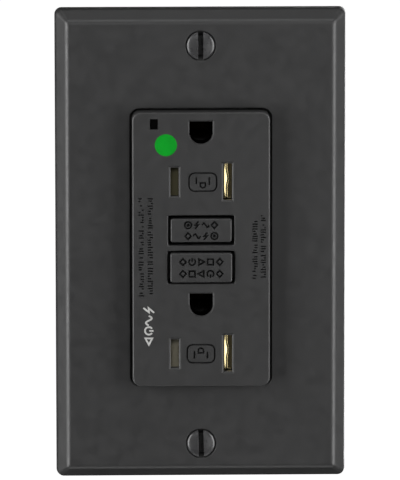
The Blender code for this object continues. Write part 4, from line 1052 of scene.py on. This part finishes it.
def works():
    """The housing, the reset and test mechanism, and the ground contacts."""
    refined("middle_housing", HOUSING_BLACK, 0.08)
    refined("lifter", NYLON, 0.15)
    refined("latch_plate", ZINC, 0.06)
    leaf = solid(merged(NODES["test_leaf"].data))
    soften(leaf, 0.05)
    leaf.name = "test_leaf_detailed"
    dress(leaf, BRASS, None, ("test_leaf",), 50)
    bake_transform(leaf)
    for end in ("upper", "lower"):
        # The ground contacts in brass darkened as painted shade.
        refined(f"ground_contact_{end}", SHADED_BRASS, 0.06)
        # a near-black card behind each ground hole, as painted shade
        ground_hole_shade_card(end)
        refined(f"screw_retainer_{end}", FIBRE, 0.08)
    stem = [(0.02, 6.7), (0.95, 6.7), (1.1, 6.55), (1.1, -23.2), (1.02, -23.3), (0.7, -23.32)]
    stem += [(0.7, -24.68), (1.02, -24.7), (1.1, -24.8), (1.1, -26.2), (0.5, -27.15), (0.02, -27.2)]
    made = turned("reset_stem_turned", stem, (0, 0, RESET["z"]), (0, -1, 0), 40)
    dress(made, ZINC, body_of("reset_stem"), ("reset_stem",), 35)
    tip = RESET["z"] - 5.6
    rod = [(0.02, tip), (1.4, tip), (1.6, tip - 0.2), (1.6, -11.4)]
    rod += [(2.0, -11.6), (2.0, -24.8), (1.8, -25.0), (0.02, -25.0)]
    made = turned("solenoid_plunger_turned", rod, (0, 24.0, 0), (0, 0, 1), 40)
    dress(made, ZINC, body_of("solenoid_plunger"), ("solenoid_plunger",), 35)
    length, travel = 4.6, 1.5
    start = (0, -4.62, RESET["z"])
    spring = coil("reset_spring_wound", "reset_spring", start, (0, 1, 0), length, 2.25, 0.22, 5, ROOT)
    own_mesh(spring)
    length, travel = 3.4, 1.0
    low = RESET["z"] + 4.8
    start = (0, 24.0, low)
    spring = coil("latch_spring_wound", "latch_spring", start, (0, 0, 1), length, 0.48, 0.11, 6, "lifter")
    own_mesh(spring)


wall_plate()
plate_screw("upper", 1, 0.0)
plate_screw("lower", -1, -1.6)
front_cover()
test_rows = ((TARGET, BOLT, WAVE, DIAMOND), 1.33, 2.1, 0.95, 0.4)
push_button("test_button_moulding", "test_button", TEST, test_rows)
reset_rows = ((DIAMOND, STAND, TRIANGLE, SQUARE, DIAMOND), 1.45, 2.2, 0.98, 0.42)
push_button("reset_button_moulding", "reset_button", RESET, reset_rows)
# The upper shutters take the painted-shade olive copy, and the lower ones take the painted-light tan copy.
shutters("upper", SHUTTER_SHADED)
shutters("lower", SHUTTER_LIT)
mounting_screw("upper", 1)
mounting_screw("lower", -1)
for level, cz in (("upper", 1), ("lower", -1)):
    for hand, cx in (("left", -1), ("right", 1)):
        case_screw(f"case_screw_{level}_{hand}", cx * CASE_SCREW_X, cz * CASE_SCREW_Z)
terminals()
rear_case()
mounting_strap()
windings()
electronics()
works()


# ---- Floor, light and camera -----------------------------------------------------------------


def stage():
    """A plain white floor well below the outlet, which lights nothing by itself."""
    bm = bmesh.new()
    bmesh.ops.create_circle(bm, cap_ends=True, segments=96, radius=14.0)
    mesh = bpy.data.meshes.new("floor")
    bm.to_mesh(mesh)
    bm.free()
    floor = bpy.data.objects.new("floor", mesh)
    bpy.context.scene.collection.objects.link(floor)
    floor.location.z = -0.5
    made = Shader("floor_white", (0.9, 0.9, 0.9), 0.9)
    made.main.inputs["Emission Color"].default_value = (1, 1, 1, 1)
    made.main.inputs["Emission Strength"].default_value = 1.0
    mesh.materials.append(made.material)
    floor.visible_diffuse = False
    floor.visible_glossy = False


def world():
    """White to the eye, and a dim even grey as light."""
    scene_world = bpy.data.worlds.new("studio")
    scene_world.use_nodes = True
    tree = scene_world.node_tree
    tree.nodes.clear()
    path = tree.nodes.new("ShaderNodeLightPath")
    seen, light = tree.nodes.new("ShaderNodeBackground"), tree.nodes.new("ShaderNodeBackground")
    seen.inputs["Color"].default_value = (1, 1, 1, 1)
    seen.inputs["Strength"].default_value = 1.0
    light.inputs["Color"].default_value = (1, 1, 1, 1)
    light.inputs["Strength"].default_value = 0.03
    mix = tree.nodes.new("ShaderNodeMixShader")
    out = tree.nodes.new("ShaderNodeOutputWorld")
    tree.links.new(path.outputs["Is Camera Ray"], mix.inputs["Fac"])
    tree.links.new(light.outputs["Background"], mix.inputs[1])
    tree.links.new(seen.outputs["Background"], mix.inputs[2])
    tree.links.new(mix.outputs["Shader"], out.inputs["Surface"])
    bpy.context.scene.world = scene_world


def softbox(name, left, up, distance, size, power, diffuse=True):
    """A soft light aimed at the part, so many degrees to the left of its front and above it.

    A light with diffuse off shows only as a reflection in glossy surfaces.
    """
    data = bpy.data.lights.new(name, "AREA")
    data.shape = "RECTANGLE"
    data.size, data.size_y = size
    data.energy = power
    obj = bpy.data.objects.new(name, data)
    bpy.context.scene.collection.objects.link(obj)
    a, e = math.radians(left), math.radians(up)
    place = distance * Vector((-math.sin(a) * math.cos(e), -math.cos(a) * math.cos(e), math.sin(e)))
    obj.location = place
    obj.rotation_euler = (-place).to_track_quat("-Z", "Y").to_euler()
    obj.visible_camera = False
    obj.visible_diffuse = diffuse


def camera():
    """A long lens a little above the part and to its left, aimed slightly down."""
    data = bpy.data.cameras.new("camera")
    data.sensor_fit = "HORIZONTAL"
    data.sensor_width = 36.0
    data.lens = 567.99
    data.clip_end = 60
    obj = bpy.data.objects.new("camera", data)
    bpy.context.scene.collection.objects.link(obj)
    obj.location = (-0.0349, -1.5, 0.2515)
    pitch, yaw, roll = (math.radians(v) for v in (9.50, 1.34, 0.06))
    obj.rotation_euler = (math.pi / 2 - pitch, roll, -yaw)
    bpy.context.scene.camera = obj


bpy.context.scene.view_settings.view_transform = "Standard"
stage()
world()
softbox("softbox_left", 60, 0, 0.8, (0.35, 0.9), 7.9)
softbox("softbox_right", -60, 0, 0.8, (0.35, 0.9), 7.4)
softbox("rim_left", 80, 0, 0.8, (0.35, 0.9), 3.0)
softbox("rim_right", -80, 0, 0.8, (0.35, 0.9), 2.4)
softbox("softbox_top", 0, 75, 0.8, (0.9, 0.35), 2.5)
softbox("softbox_bottom", 0, -75, 0.8, (0.9, 0.35), 2.0)
softbox("softbox_front", 0, 25, 2.0, (1.2, 0.6), 4.5)
softbox("softbox_back", -160, -4, 1.8, (1.2, 1.2), 20.0)
softbox("leaf_card", -22, -9.5, 1.0, (0.16, 0.5), 0.6, False)
camera()
